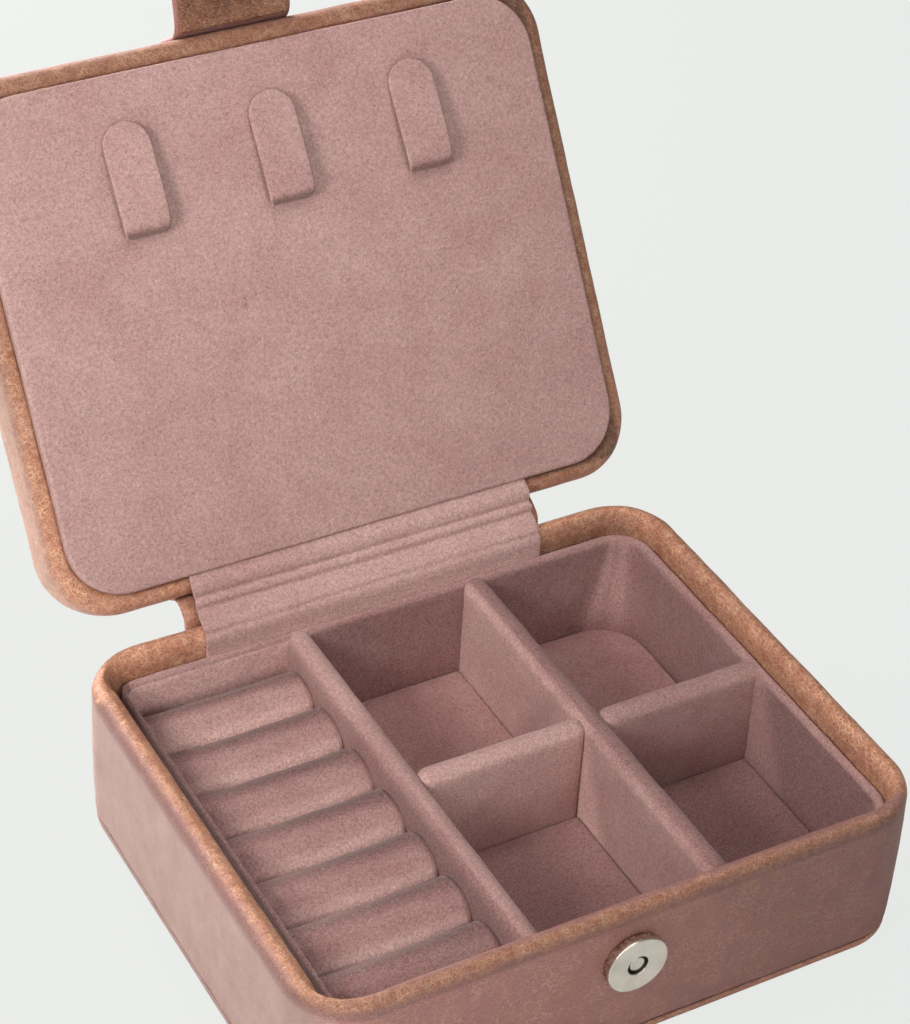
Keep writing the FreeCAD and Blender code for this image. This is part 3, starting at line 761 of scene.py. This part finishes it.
def make_liner():
    """The velvet tray wall with a padded lip; the velvet spans the back right corner."""
    half_x, half_y = (LINER_HIGH[0] - LINER_LOW[0]) / 2, LINER_HIGH[1]
    lip = 0.75
    depth = 1.9
    outer = upright(0.0, FLOOR_Z + 0.1, LINER_TOP - lip, 12)
    top = arc_points((lip, LINER_TOP - lip), lip, 180, 95, 6)[1:]
    top += [(lip + (LINER_T - lip) * s, LINER_TOP - depth * (1 - c))
            for c, s in (polar(a) for a in range(0, 91, 15))]
    inner = upright(LINER_T, LINER_TOP - depth, FLOOR_Z + 0.1, 34)[1:]

    def radii(inset, z):
        made = [r - inset for r in LINER_R]
        deep = soft_step((LINER_TOP - z) / (LINER_TOP - FLOOR_Z)) if inset > 1 else 0.0
        made[0] += 6.5 * deep
        made[3] += 2.0 * deep
        return made

    middle = ((LINER_HIGH[0] + LINER_LOW[0]) / 2, 0)
    liner = sweep("tray_wall", half_x, half_y, radii, outer + top + inner, 0.9, middle)
    ruffle(liner, 0.14, 9, 3)
    for v in liner.data.vertices:
        x = v.co.x / MM - LINER_LOW[0]
        v.co.x += between(x, 0.2, LINER_T, 0.95, 0.35) * between(x, 5, 20, 1.0, 0.0) * MM

    # Painted light and shade on the tray wall: its left lip darkened as if in the rim's shadow, painted
    # light wedges and a streak on the right-hand cells' walls, the ring bay's back wall lightened, other
    # back walls with a lighter streak.
    def wall_painted_light(p, n):
        if p.z > LINER_TOP - 1.2:
            return 0.56 if p.x < LINER_LOW[0] + 3.5 else 0.92
        if n.x < -0.5 and p.x > CENTRE_X + 10:
            side = between(p.y, -16, 12, 0.68, 0.84)
            wedge = between(p.y + 0.45 * (LINER_TOP - p.z), -9, -3, 0.0, 0.22) if p.y < 0 else 0.0
            return side + wedge + 0.2 * hump(n.y + 0.72, 0.16)
        if n.y < -0.5 and p.x < RING_X:
            return 1.5
        if n.y < -0.5 and p.y > 0:
            return 0.82 + 0.25 * hump(n.x + 0.35, 0.16)
        return 0.9

    brush(liner, wall_painted_light)
    # Painted shade: the colour deeper lower down the wall.
    brush(liner, lambda p, n: between(p.z, LINER_TOP - 6, LINER_TOP, 0.22, 0.1), "tan")
    finish(liner, "velvet", "base", ["tray_liner"])


# Painted light: the ring divider darker towards the front, most on its left face.
def ring_painted_light(p, n):
    if n.x < -0.5:
        return between(p.y, -50, 50, 0.58, 0.97)
    return between(p.y, -50, 50, 0.80, 0.95)


# Painted light and shade on the centre divider: its left face lighter, with a painted darker band at the
# back and a painted lighter wedge at the front.
def centre_painted_light(p, n):
    if n.x > -0.5:
        return between(p.y, -50, 50, 0.84, 0.88)
    if p.y > 0:
        return 1.22 - 0.16 * hump(p.y - 9 - 0.6 * (LINER_TOP - p.z), 3.5)
    return 1.02 + between(p.y + 0.42 * (LINER_TOP - p.z), -5, 1.5, 0.0, 0.3)


# Painted light and shade for each divider, from place and facing.
DIVIDER_PAINTED_LIGHT = {"ring_divider": ring_painted_light, "centre_divider": centre_painted_light,
               "cross_divider_left": lambda p, n: between(p.z, 8, 30, 1.08, 1.32),
               "cross_divider_right": lambda p, n: between(p.z, 8, 31, 0.80, 1.05)}
# Painted shade on the floor cards: the front cells darker.
PAD_PAINTED_SHADE = {"front_left": 0.78, "front_right": 0.69, "back_left": 1.03, "back_right": 1.05}
# Painted falloff of light: the rolls from the back, each darker towards the front.
ROLL_PAINTED_FALLOFF = (0.88, 0.83, 0.78, 0.77, 0.76, 0.75, 0.70)


def make_dividers():
    """Velvet over board: upright sides and a rounded top edge."""
    lift = 0.25
    for i, node in enumerate(DIVIDER_PAINTED_LIGHT):
        low, high = span(node)
        low, high = list(low), list(high)
        high[2] += lift
        round_r = 0.48 * min(high[0] - low[0], high[1] - low[1])
        low[2] -= round_r
        run = 0 if high[0] - low[0] > high[1] - low[1] else 1
        low[run] -= DIVIDER_LET_IN
        high[run] += DIVIDER_LET_IN
        wall = soft_box(node + "_velvet", low, high, round_r)
        ruffle(wall, 0.13, 8, 4 + i)
        # Painted light: the ring divider's top lighter, the other dividers' tops darker.
        top = 1.12 if node == "ring_divider" else 0.84
        wall_painted_light = DIVIDER_PAINTED_LIGHT[node]
        brush(wall, lambda p, n: wall_painted_light(p, n) * between(n.z, 0.3, 0.9, 1.0, top))
        # Painted shade: the colour deeper lower down.
        brush(wall, lambda p, n: between(p.z, LINER_TOP - 8, LINER_TOP, 0.15, 0.0), "tan")
        finish(wall, "velvet", "base", [node])


def make_pads():
    """Velvet-covered floor cards, cut to the corners of their cells."""
    corners = {"front_left": [0.8] * 4, "front_right": [0.8, 0.8, 0.8, 6.0],
               "back_left": [0.8] * 4, "back_right": [12.0, 0.8, 0.8, 0.8]}
    grow = 0.22
    for i, (row, radii) in enumerate(corners.items()):
        node = "floor_pad_" + row
        low, high = span(node)
        top = high[2]
        edge = [(2, low[2]), (0.3, low[2])] + upright(0, low[2] + 0.3, top - 0.5, 3)
        edge += arc_points((0.5, top - 0.5), 0.5, 180, 90, 5)[1:]
        half = (high - low) / 2 + grow
        middle = (high + low) / 2
        pad = plate(node + "_velvet", half[0], half[1], lambda inset, z: [x - inset for x in radii],
                    edge, 1.0, None, middle[:2])
        ruffle(pad, 0.07, 10, 9 + i)
        # Painted shade: each card darkened as listed, the front cells most; the back cells' colour deeper.
        brush(pad, lambda p, n: PAD_PAINTED_SHADE[row])
        brush(pad, lambda p, n: 0.38 if "back" in row else 0.18, "tan")
        finish(pad, "velvet", "base", [node])


def roll_painted_light(p, n, left, top):
    """Painted light and shade: pale on the side towards the front, brightened down into the groove against
    its shade; dark on the far side and at the left end, where the rim's shadow falls.
    """
    made = between(n.y, -0.5, 0.45, 1.12, 0.58)
    if n.y < 0:
        made *= between(p.z, top - 5.5, top - 1.0, 1.75, 1.0)
    return made * between(p.x, left, left + 7, 0.62 if n.y < -0.3 else 0.85, 1.0)


def make_rolls():
    """Foam ring rolls in velvet, swollen side by side by cloth pressure."""
    for i in range(7):
        node = "ring_roll_%d" % (i + 1)
        low, high = span(node)
        if i == 0:
            high[1] -= ROLL_BACK_GAP
        roll = soft_roll(node + "_velvet", low, high)
        swell(roll, pressure=1.0, cap=0.35)
        ruffle(roll, 0.13, 7, 14 + i)
        # Painted light and shade on each roll: darker towards the front of the bay, lighter on the sides
        # facing the front.
        brush(roll, lambda p, n: ROLL_PAINTED_FALLOFF[i] * roll_painted_light(p, n, low[0], high[2]))
        finish(roll, "velvet", "base", [node])
    bed_low, bed_high = span("ring_bed")
    bed = soft_box("ring_bed_velvet", bed_low, bed_high, radius=0.6, step=1.5)
    finish(bed, "velvet", "base", ["ring_bed"])


def swell(obj, pressure, cap):
    """A short cloth simulation with pressure, at a larger scale, each point's move capped in mm."""
    before = [v.co.copy() for v in obj.data.vertices]
    obj.data.transform(Matrix.Scale(SWELL_SCALE, 4))
    bpy.context.view_layer.objects.active = obj
    cloth = obj.modifiers.new("swell", "CLOTH")
    cloth.settings.use_pressure = True
    cloth.settings.uniform_pressure_force = pressure
    cloth.settings.effector_weights.gravity = 0
    cloth.settings.quality = 5
    cloth.point_cache.frame_start = 1
    cloth.point_cache.frame_end = SWELL_FRAMES
    scene = bpy.context.scene
    for number in range(1, SWELL_FRAMES + 1):
        scene.frame_set(number)
    result = obj.evaluated_get(bpy.context.evaluated_depsgraph_get())
    after = [v.co / SWELL_SCALE for v in result.data.vertices]
    obj.modifiers.remove(cloth)
    scene.frame_set(1)
    for v, old, new in zip(obj.data.vertices, before, after):
        move = new - old
        if move.length > cap * MM:
            move *= cap * MM / move.length
        v.co = old + move
    obj.data.update()


def soft_roll(name, low, high):
    """A roll with upright sides and a round top, its ends drawn in a little."""
    half = (high[1] - low[1]) / 2 + 0.12
    middle = (high[1] + low[1]) / 2
    x0, x1 = low[0] - 0.2, high[0] + 0.25
    top = high[2] - low[2]
    along = spread_steps(x0, x1, 1.6, 0.9)
    around = 44
    side_power, foot_power, top_power = 0.86, 0.35, 1.04
    points = []
    for x in along:
        end = min(x - x0, x1 - x)
        draw = 1 - 0.12 * (1 - soft_step(end / 1.4)) ** 1.5
        for k in range(around):
            a = 2 * math.pi * k / around
            cy, cz = math.cos(a), math.sin(a)
            wide = half * (draw + 1) / 2
            if cz >= 0:
                y = wide * math.copysign(abs(cy) ** side_power, cy)
                z = top - half + (half - (1 - draw) * 7) * abs(cz) ** top_power
            else:
                y = wide * math.copysign(min(1, abs(cy) ** foot_power), cy)
                z = (top - half) * (1 - abs(cz) ** 0.5)
            points.append((x, middle + y, low[2] + z))
    faces = grid_faces(len(along), around)
    for row, x in ((0, x0), (len(along) - 1, x1)):
        ring = points[row * around:(row + 1) * around]
        centre = np.mean(ring, axis=0)
        start = row * around
        for share in (0.75, 0.5, 0.25):
            first = len(points)
            points += [tuple(centre + (np.array(p) - centre) * share) for p in ring]
            faces += [(start + k, start + (k + 1) % around, first + (k + 1) % around, first + k)
                      for k in range(around)]
            start = first
        points.append(tuple(centre))
        faces += [(start + k, start + (k + 1) % around, len(points) - 1) for k in range(around)]
    obj = piece_of(name, points, faces)
    weld(obj, 0.004)
    return obj


# ---- lid ----

def make_lid_shell():
    """The lid's leather: a rounded top plate and a wall that turns over its rim."""
    half_x, half_y = LID_HIGH[0], -LID_LOW[1]
    out_r, in_r, top_r = 2.7, 1.3, 4.6
    profile = upright(WALL, LID_RIM + 8, LID_RIM + in_r, 7)[:-1]
    profile += arc_points((WALL - in_r, LID_RIM + in_r), in_r, 0, -90, 8)
    profile += arc_points((out_r, LID_RIM + out_r), out_r, 270, 180, 12)
    wall_low, wall_high = LID_RIM + out_r, LID_TOP - top_r
    profile += [(-0.2 * math.sin(math.pi * t), wall_low + t * (wall_high - wall_low))
                for t in np.linspace(0, 1, 12)[1:]]
    profile += arc_points((top_r, LID_TOP - top_r), top_r, 180, 90, 14)[1:]
    marks = [tan_of(inset, z - LID_RIM) if z < LID_TOP - 1 else 0.0 for inset, z in profile]
    profile += [(d, LID_TOP) for d in np.arange(profile[-1][0] + 1.2, half_y - 0.6, 1.2)]
    marks += [0.0] * (len(profile) - len(marks) + 1)
    stations = outline(half_x, half_y, CORNER_R, 0.9)
    wrap = turned_radii([PANEL_R] * 4)
    flat = even_radii(CORNER_R)
    rows = rows_of(stations, half_x, half_y, profile,
                   lambda inset, z: wrap(inset, z) if z < LID_TOP - 5 else flat(inset, z))
    line = rows[-1].copy()
    line[:, 1] = 0
    rows.append(line)
    obj = piece_of("lid_skin", np.concatenate(rows), grid_faces(len(rows), len(stations)), OPEN)
    set_marks(obj, "tan", np.repeat(marks, len(stations)))
    weld(obj, 0.02)
    ruffle(obj, 0.12, 9, 30)
    low, high = OPEN @ Vector((0, 0, LID_RIM * MM)), OPEN @ Vector((0, HALF_D * MM, LID_RIM * MM))

    # Painted light and shade: left-facing walls darkened, darker towards the right near the hinge and
    # towards the lid's free edge, a painted shadow inside the rim beside the panel on the right and along
    # the hinge side, backward faces darkened.
    def shade(p, n):
        left = between(n.x, -0.95, -0.3, 0.82, 1.0) if p.x < 0 else 1.0
        up = between(p.z, high.z / MM, low.z / MM + 30, 0.0, 1.0)
        right = between(p.x, 25, HALF_W, 1.0, 0.76 + 0.24 * up)
        q = SHUT @ (p * MM) / MM
        inset = min(HALF_W - abs(q.x), HALF_D - abs(q.y))
        far = max(between(q.x, 30, 60, 0, 1), between(q.y, 30, 50, 0, 1) * between(q.x, -60, -20, 0, 1))
        gap = 1 - 0.5 * far * between(inset, 2.6, 4.2, 0, 1) if q.z < LID_RIM + 6 else 1.0
        return left * right * gap * (1.14 - 0.42 * up) * back_painted_shade(n)

    for v, mark in zip(obj.data.vertices, obj.data.attributes["tan"].data):
        q = SHUT @ v.co / MM
        worn = between(q.x, -HALF_W, 12 - HALF_W, 0.8, 0.0)
        mark.value = max(mark.value, worn * between(q.z, LID_TOP - 3, LID_TOP - 1, 1.0, 0.0))
    brush(obj, shade, "shade")
    # Painted sheen on the left-facing wall.
    brush(obj, lambda p, n: left_painted_sheen(p, n) * 0.62, "painted_sheen_and_shade")
    finish(obj, "leather", "lid", ["lid_leather", "lid_wall_board", "lid_top_board"])


def make_panel():
    """The velvet panel: a card with crisp edges on a foam bed."""
    half_x, half_y = PANEL_HIGH[0], PANEL_HIGH[1]
    front, back = PANEL_LOW[2], PANEL_HIGH[2]
    edge = [(2.5, back), (0.5, back)] + upright(0.0, back - 0.3, front + 0.8, 5)
    edge += arc_points((0.7, front + 0.7), 0.7, 180, 270, 6)[1:]
    grow = 0.3
    radii = even_radii(PANEL_R + grow)
    panel = plate("lid_panel_velvet", half_x + grow, half_y + grow, radii, edge, 1.1, OPEN)
    ruffle(panel, 0.07, 16, 31)
    # Painted light: the panel lighter towards its middle, darker at the far right, and lighter still along
    # its left edge.
    brush(panel, lambda p, n: between(p.x, -HALF_W, 0, 0.99, 1.07) * between(p.x, 20, 70, 1.0, 0.96))
    brush(panel, lambda p, n: between(p.x, -HALF_W, -10, -0.22, 0.0), "tan")
    finish(panel, "velvet", "lid", ["lid_panel_cover"])


def rounded_end(total, half, least):
    """Half the width of a strip whose far end is a half circle."""
    def width(s, side):
        left = total - s
        if left < half:
            return max(least, math.sqrt(max(0.0, half ** 2 - (half - left) ** 2)))
        return half
    return width


def hook_painted_shade(p, n):
    """Painted shade: the bend at the bottom and the right-hand edge darkened as if shaded, the left-hand
    edge painted as pale as the face.
    """
    if n.x < -0.3:
        return 1.04
    return between(n.z, -0.25, 0.4, 0.68, 1.04) * between(n.x, 0.3, 0.8, 1.0, 0.45)


def make_hooks():
    """J-shaped tabs: out of a slit, round a tight bend, and up to a rounded tip."""
    shape = [(0.5, 0.4), (0.45, 1.8), (0.7, 3.0), (1.5, 4.0), (3.2, 4.45),
             (7, 4.4), (12, 4.0), (19, 3.3), (25.1, 2.7)]
    for i, name in enumerate(("left", "middle", "right")):
        low, high = span("hook_" + name, SHUT)
        centre, half = (low[0] + high[0]) / 2, (high[0] - low[0]) / 2
        root_y = high[1] - 0.75
        path = [(root_y - v, LID_RIM - w) for v, w in shape]
        tip = rounded_end(smooth_line(path, 0.3)[1][-1], half, 0.3)
        hook = ribbon("hook_%s_velvet" % name, path, centre, 0.95,
                      lambda s, side: tip(s, side) - 0.9 * (1 - soft_step((s - 1.2) / 3.2)),
                      step=0.3, across=0.6, place=OPEN,
                      lift=lambda s, x: HOOK_TILT * x / half * soft_step((s - 4) / 4))
        ruffle(hook, 0.04, 4, 33 + i)
        brush(hook, hook_painted_shade)
        finish(hook, "velvet", "lid", ["hook_" + name])


# ---- hinge ----

def opened(y, z):
    """Where a point of the closed lid's side view goes when the lid is open."""
    p = OPEN @ (Vector((0, y, z)) * MM)
    return p.y / MM, p.z / MM


def make_lining():
    """The pleated velvet strip from the tray's lip to the lid's panel."""
    low, high = span("hinge_lining")
    inner = HALF_D - WALL
    path = [(inner - 0.35, LINER_TOP - 2.5), (inner - 0.4, LINER_TOP + 1), (inner - 0.35, BASE_H - 2.0),
            (inner + 0.6, BASE_H + 0.1), (inner + 2.2, BASE_H + 1.3), (inner + 4.0, BASE_H + 2.9),
            (inner + 5.2, BASE_H + 5.0), (inner + 6.6, BASE_H + 7.2), (inner + 7.9, BASE_H + 8.8),
            opened(HALF_D - 4.4, LID_RIM - 0.5), opened(HALF_D - 5.6, LID_RIM - 0.2)]
    half = (high[0] - low[0]) / 2
    length = smooth_line(path, 0.3)[1][-1]

    def lift(s, x):
        sway = 0.5 * math.sin(x * 0.045 + 1.0)
        made = -0.42 * hump(s - length + 6.6 + 0.3 * sway, 0.55)
        made -= 0.30 * hump(s - length + 9.3 + 0.5 * sway, 0.7)
        made -= 0.28 * hump(s - 8.2 - 0.4 * sway, 0.6)
        made += 0.42 * hump(s - length + 4.4, 1.5) + 0.25 * hump(s - length + 8.0, 0.9)
        return made + 0.2 * hump(s - 11.5, 2.5)

    def width(s, side):
        return half + 0.5 * lift(s, 0)

    lining = ribbon("hinge_lining_velvet", path, 0, 0.7, width, step=0.3, across=1.4, lift=lift)
    ruffle(lining, 0.06, 7, 40)
    # Painted light: lighter low down in the tray, darker towards the left.
    brush(lining, lambda p, n: between(p.z, LINER_TOP, LINER_TOP + 7, 1.34, 1.2)
          * between(p.x, -50, 10, 0.88, 1.0))
    finish(lining, "velvet", None, ["hinge_lining"])
    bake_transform(lining)


def make_spine():
    """One leather strip: on the base's back wall, round the fold, on the lid's wall."""
    low, high = span("spine_base_tab")
    half = high[0]
    middle = (low[1] + high[1]) / 2
    lid_low, lid_high = span("spine_lid_tab", SHUT)
    base_side = upright(middle, low[2], high[2], 6)
    base_side += [(middle + 0.25, high[2] + 2), (middle + 0.9, HINGE[2] - 2)]
    lid_side = [(middle + 0.9, HINGE[2] + 1.6), (middle + 0.25, lid_low[2] - 1)]
    lid_side += upright(middle, lid_low[2], lid_high[2], 4)
    path = base_side + [opened(y, z) for y, z in lid_side]
    spine = ribbon("spine_strip", path, 0, 1.2, half, step=0.5, across=1.4)
    ruffle(spine, 0.08, 7, 41)
    brush(spine, lambda p, n: between(abs(p.z - HINGE[2]), 3, 8, 0.8, 0.12), "tan")
    # Painted shade on faces turned backwards.
    brush(spine, lambda p, n: back_painted_shade(n), "shade")
    finish(spine, "leather", None, ["spine_base_tab", "spine_fold", "spine_lid_tab"])
    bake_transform(spine)


# ---- strap and snap ----

STRAP_T = 1.8
STRAP_HALF = 14.0
ANCHOR_LOW, ANCHOR_HIGH = span("strap_anchor", SHUT)
FOLD = SHUT @ Vector(JOINTS["strap_fold"]["pos_m"]) / MM


def flap_points():
    """The strap's middle line beyond its fold, at rest."""
    low = span("strap_leather", OPEN_STRAP.inverted())[0]
    snap_y = low[1] + STRAP_T / 2
    flap = [(FOLD.y - (FOLD.y - snap_y) * (1 - math.cos(math.pi * t)) / 2, FOLD.z - 10 * t)
            for t in (0.06, 0.2, 0.35, 0.5, 0.65, 0.8, 0.95)]
    flap += upright(snap_y, FOLD.z - 12, low[2], 7)
    turned = [OPEN_STRAP @ (Vector((0, y, z)) * MM) for y, z in flap]
    return [(p.y / MM, p.z / MM) for p in turned]


def make_strap():
    """The strap: its outer leather runs on to the anchor stitched on the lid's front wall."""
    low, high = span("strap_lining", OPEN_STRAP.inverted())
    centre = (low[0] + high[0]) / 2
    wall_y = ANCHOR_HIGH[1]
    anchor = [opened(wall_y - 0.1, z) for z in np.linspace(ANCHOR_HIGH[2], ANCHOR_LOW[2] + 1.5, 5)]
    inner = flap_points()
    outer = anchor + [opened(wall_y - 0.6, ANCHOR_LOW[2] - 0.2)] + inner
    layers = (("strap_outer", outer, 1.0, -0.4, STRAP_HALF, "leather",
               ["strap_leather", "strap_anchor"]),
              ("strap_inner", inner, 0.8, 0.45, STRAP_HALF - 0.9, "strap_leather_inside",
               ["strap_lining"]))
    for name, path, thick, offset, half, slot, nodes in layers:
        width = rounded_end(smooth_line(path, 0.5)[1][-1] - (STRAP_HALF - half), half, 0.5)
        layer = ribbon(name, path, centre, thick, width, step=0.5, across=1.0, offset=offset)
        ruffle(layer, 0.05, 6, 50)
        if name == "strap_inner":
            run = [mark.value for mark in layer.data.attributes["along"].data]
            set_marks(layer, "tan", [between(s, 0, 6, 1.0, 0.35) for s in run])
        finish(layer, slot, None, nodes)
        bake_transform(layer)


def rim_of(radius, face, round_r, count=6, inward=False):
    """Points round a turned edge: from the side onto the face, or from the face into a hole."""
    made = []
    for a in np.linspace(0, 90, count):
        c, s = polar(a)
        if inward:
            made.append((radius + round_r * (1 - s), face + round_r * (1 - c)))
        else:
            made.append((radius - round_r * (1 - c), face + round_r * (1 - s)))
    return made


def make_socket():
    """The snap's magnet half: a turned case round a hole with the rivet's head in it."""
    low, high = span("snap_socket_case")
    cx, cz = (low[0] + high[0]) / 2, (low[2] + high[2]) / 2
    r = (high[0] - low[0]) / 2
    face, back = low[1], high[1]
    hole, deep = 2.35, 1.3
    case = [(0.0, back + 0.1), (r - 0.9, back + 0.1), (r - 0.45, back - 0.05),
            (r - 0.3, back - 0.5), (r, back - 0.75)]
    case += rim_of(r, face, 0.32) + [(hole + 1.2, face), (hole + 0.6, face)]
    case += rim_of(hole, face, 0.35, inward=True) + [(hole, face + deep), (0.0, face + deep)]
    socket = lathe("snap_socket", case, (cx, 0, cz))
    # Painted glints on the case's side.
    brush(socket, lambda p, n: between(p.y, face + 0.25, face + 0.5, 0, 1)
          * between(n.y, -0.5, -0.2, 0, 1), "tan")

    # Painted shadow in the gap round the rivet's head.
    def ring_painted_shadow(p, n):
        far = math.hypot(p.x - cx, p.z - cz)
        return between(far, hole, hole + 0.2, 0.8, 0.0) * between(p.y, face + 0.05, face + 0.35, 0.0, 1.0)

    brush(socket, ring_painted_shadow, "painted_sheen_and_shade")
    finish(socket, "nickel", "base", ["snap_socket_case"])
    head_r, head_face = 1.78, face + 0.5
    head = [(0.0, face + deep + 0.2), (head_r - 0.1, face + deep + 0.2)]
    head += rim_of(head_r, head_face, 0.3)
    head += [(head_r - 0.7, head_face), (0.9, head_face + 0.08), (0.0, head_face + 0.1)]
    rivet = lathe("snap_socket_rivet_head", head, (cx, 0, cz), turns=64)
    # Painted shade on the side of the rivet's head.
    brush(rivet, lambda p, n: between(n.y, -0.8, -0.4, 0.0, 0.6), "painted_sheen_and_shade")
    finish(rivet, "nickel", "base", ["snap_socket_rivet"])


def dress_cad():
    """Materials for the CAD nodes that stay in sight or sealed inside."""
    slots = {"base_floor_board": "board", "lid_panel_board": "board", "lid_foam": "foam",
             "snap_socket_magnet": "magnet", "snap_socket_washer": "washer_steel",
             "snap_stud_washer": "washer_steel", "snap_stud": "nickel"}
    for node, slot in slots.items():
        dress(NODES[node], slot)


# ---- stage ----

FLOOR_EVEN = 0.965


def make_stage():
    work = bmesh.new()
    bmesh.ops.create_grid(work, x_segments=8, y_segments=8, size=3.0)
    floor = put("floor", mesh_of("floor", work))
    n = Nodes("floor")
    tint = n.noise(n.coords(), 3, 2.0)
    n.set(Base_Color=n.mix(tint, rgb(224, 226, 223), rgb(228, 230, 227)), Roughness=1.0)
    n.set(**{"Specular IOR Level": 0.0})
    glow = n.add("Emission")
    glow.inputs["Color"].default_value = rgb(*PAPER)
    rays = n.add("LightPath")
    share = n.times(rays.outputs["Is Camera Ray"], FLOOR_EVEN)
    camera_sees(n.tree, share, n.shader.outputs[0], glow.outputs[0], "Material Output")
    floor.data.materials.append(n.material)


LIGHTS = {"key": ((-0.36, -0.08, 0.31), (0.11, 0.12), 1.25),
          "back": ((-0.12, 0.62, 0.32), (0.3, 0.3), 10.0),
          "over": ((-0.06, 0.03, 0.69), (0.3, 0.3), 1.5),
          "front": ((-0.06, -0.56, 0.36), (0.4, 0.3), 1.3)}
AIM = Vector((0.0, 0.02, 0.06))


def make_lights():
    """A soft light close on the left, weak ones above and in front, and one behind the lid."""
    for name, (place, size, power) in LIGHTS.items():
        light = bpy.data.lights.new(name, "AREA")
        light.shape = "RECTANGLE"
        light.size, light.size_y = size
        light.energy = power
        light.color = (1.0, 0.985, 0.965)
        lamp = put(name, light)
        lamp.location = place
        lamp.rotation_euler = (AIM - Vector(place)).to_track_quat("-Z", "Y").to_euler()
    world = bpy.data.worlds.new("studio")
    bpy.context.scene.world = world
    world.use_nodes = True
    tree = world.node_tree
    fill = tree.nodes["Background"]
    fill.inputs["Color"].default_value = (0.95, 0.97, 0.98, 1)
    fill.inputs["Strength"].default_value = 0.16
    backdrop = tree.nodes.new("ShaderNodeBackground")
    backdrop.inputs["Color"].default_value = rgb(*PAPER)
    rays = tree.nodes.new("ShaderNodeLightPath")
    camera_sees(tree, rays.outputs["Is Camera Ray"], fill.outputs[0], backdrop.outputs[0], "World Output")


CAMERA_AT = (-0.25189, -0.40027, 0.45723)
CAMERA_RIGHT = Vector((0.87640, -0.47915, 0.04833)).normalized()
CAMERA_UP = Vector((0.25833, 0.55244, 0.79251)).normalized()
FOCAL_MM, SENSOR_MM = 104.16, 36.0


def make_camera():
    """The photo's camera, as solved from its straight edges and round rims."""
    lens = bpy.data.cameras.new("camera")
    lens.lens = FOCAL_MM
    lens.sensor_width = SENSOR_MM
    lens.clip_start, lens.clip_end = 0.01, 20.0
    camera = put("camera", lens)
    turn = Matrix((CAMERA_RIGHT, CAMERA_UP, CAMERA_RIGHT.cross(CAMERA_UP))).transposed().to_4x4()
    camera.matrix_world = Matrix.Translation(CAMERA_AT) @ turn
    bpy.context.scene.camera = camera
    bpy.context.scene.view_settings.view_transform = "Standard"


make_base_shell()
make_bottom()
make_liner()
make_dividers()
make_pads()
make_rolls()
make_lid_shell()
make_panel()
make_hooks()
make_lining()
make_spine()
make_strap()
make_socket()
dress_cad()
make_stage()
make_lights()
make_camera()
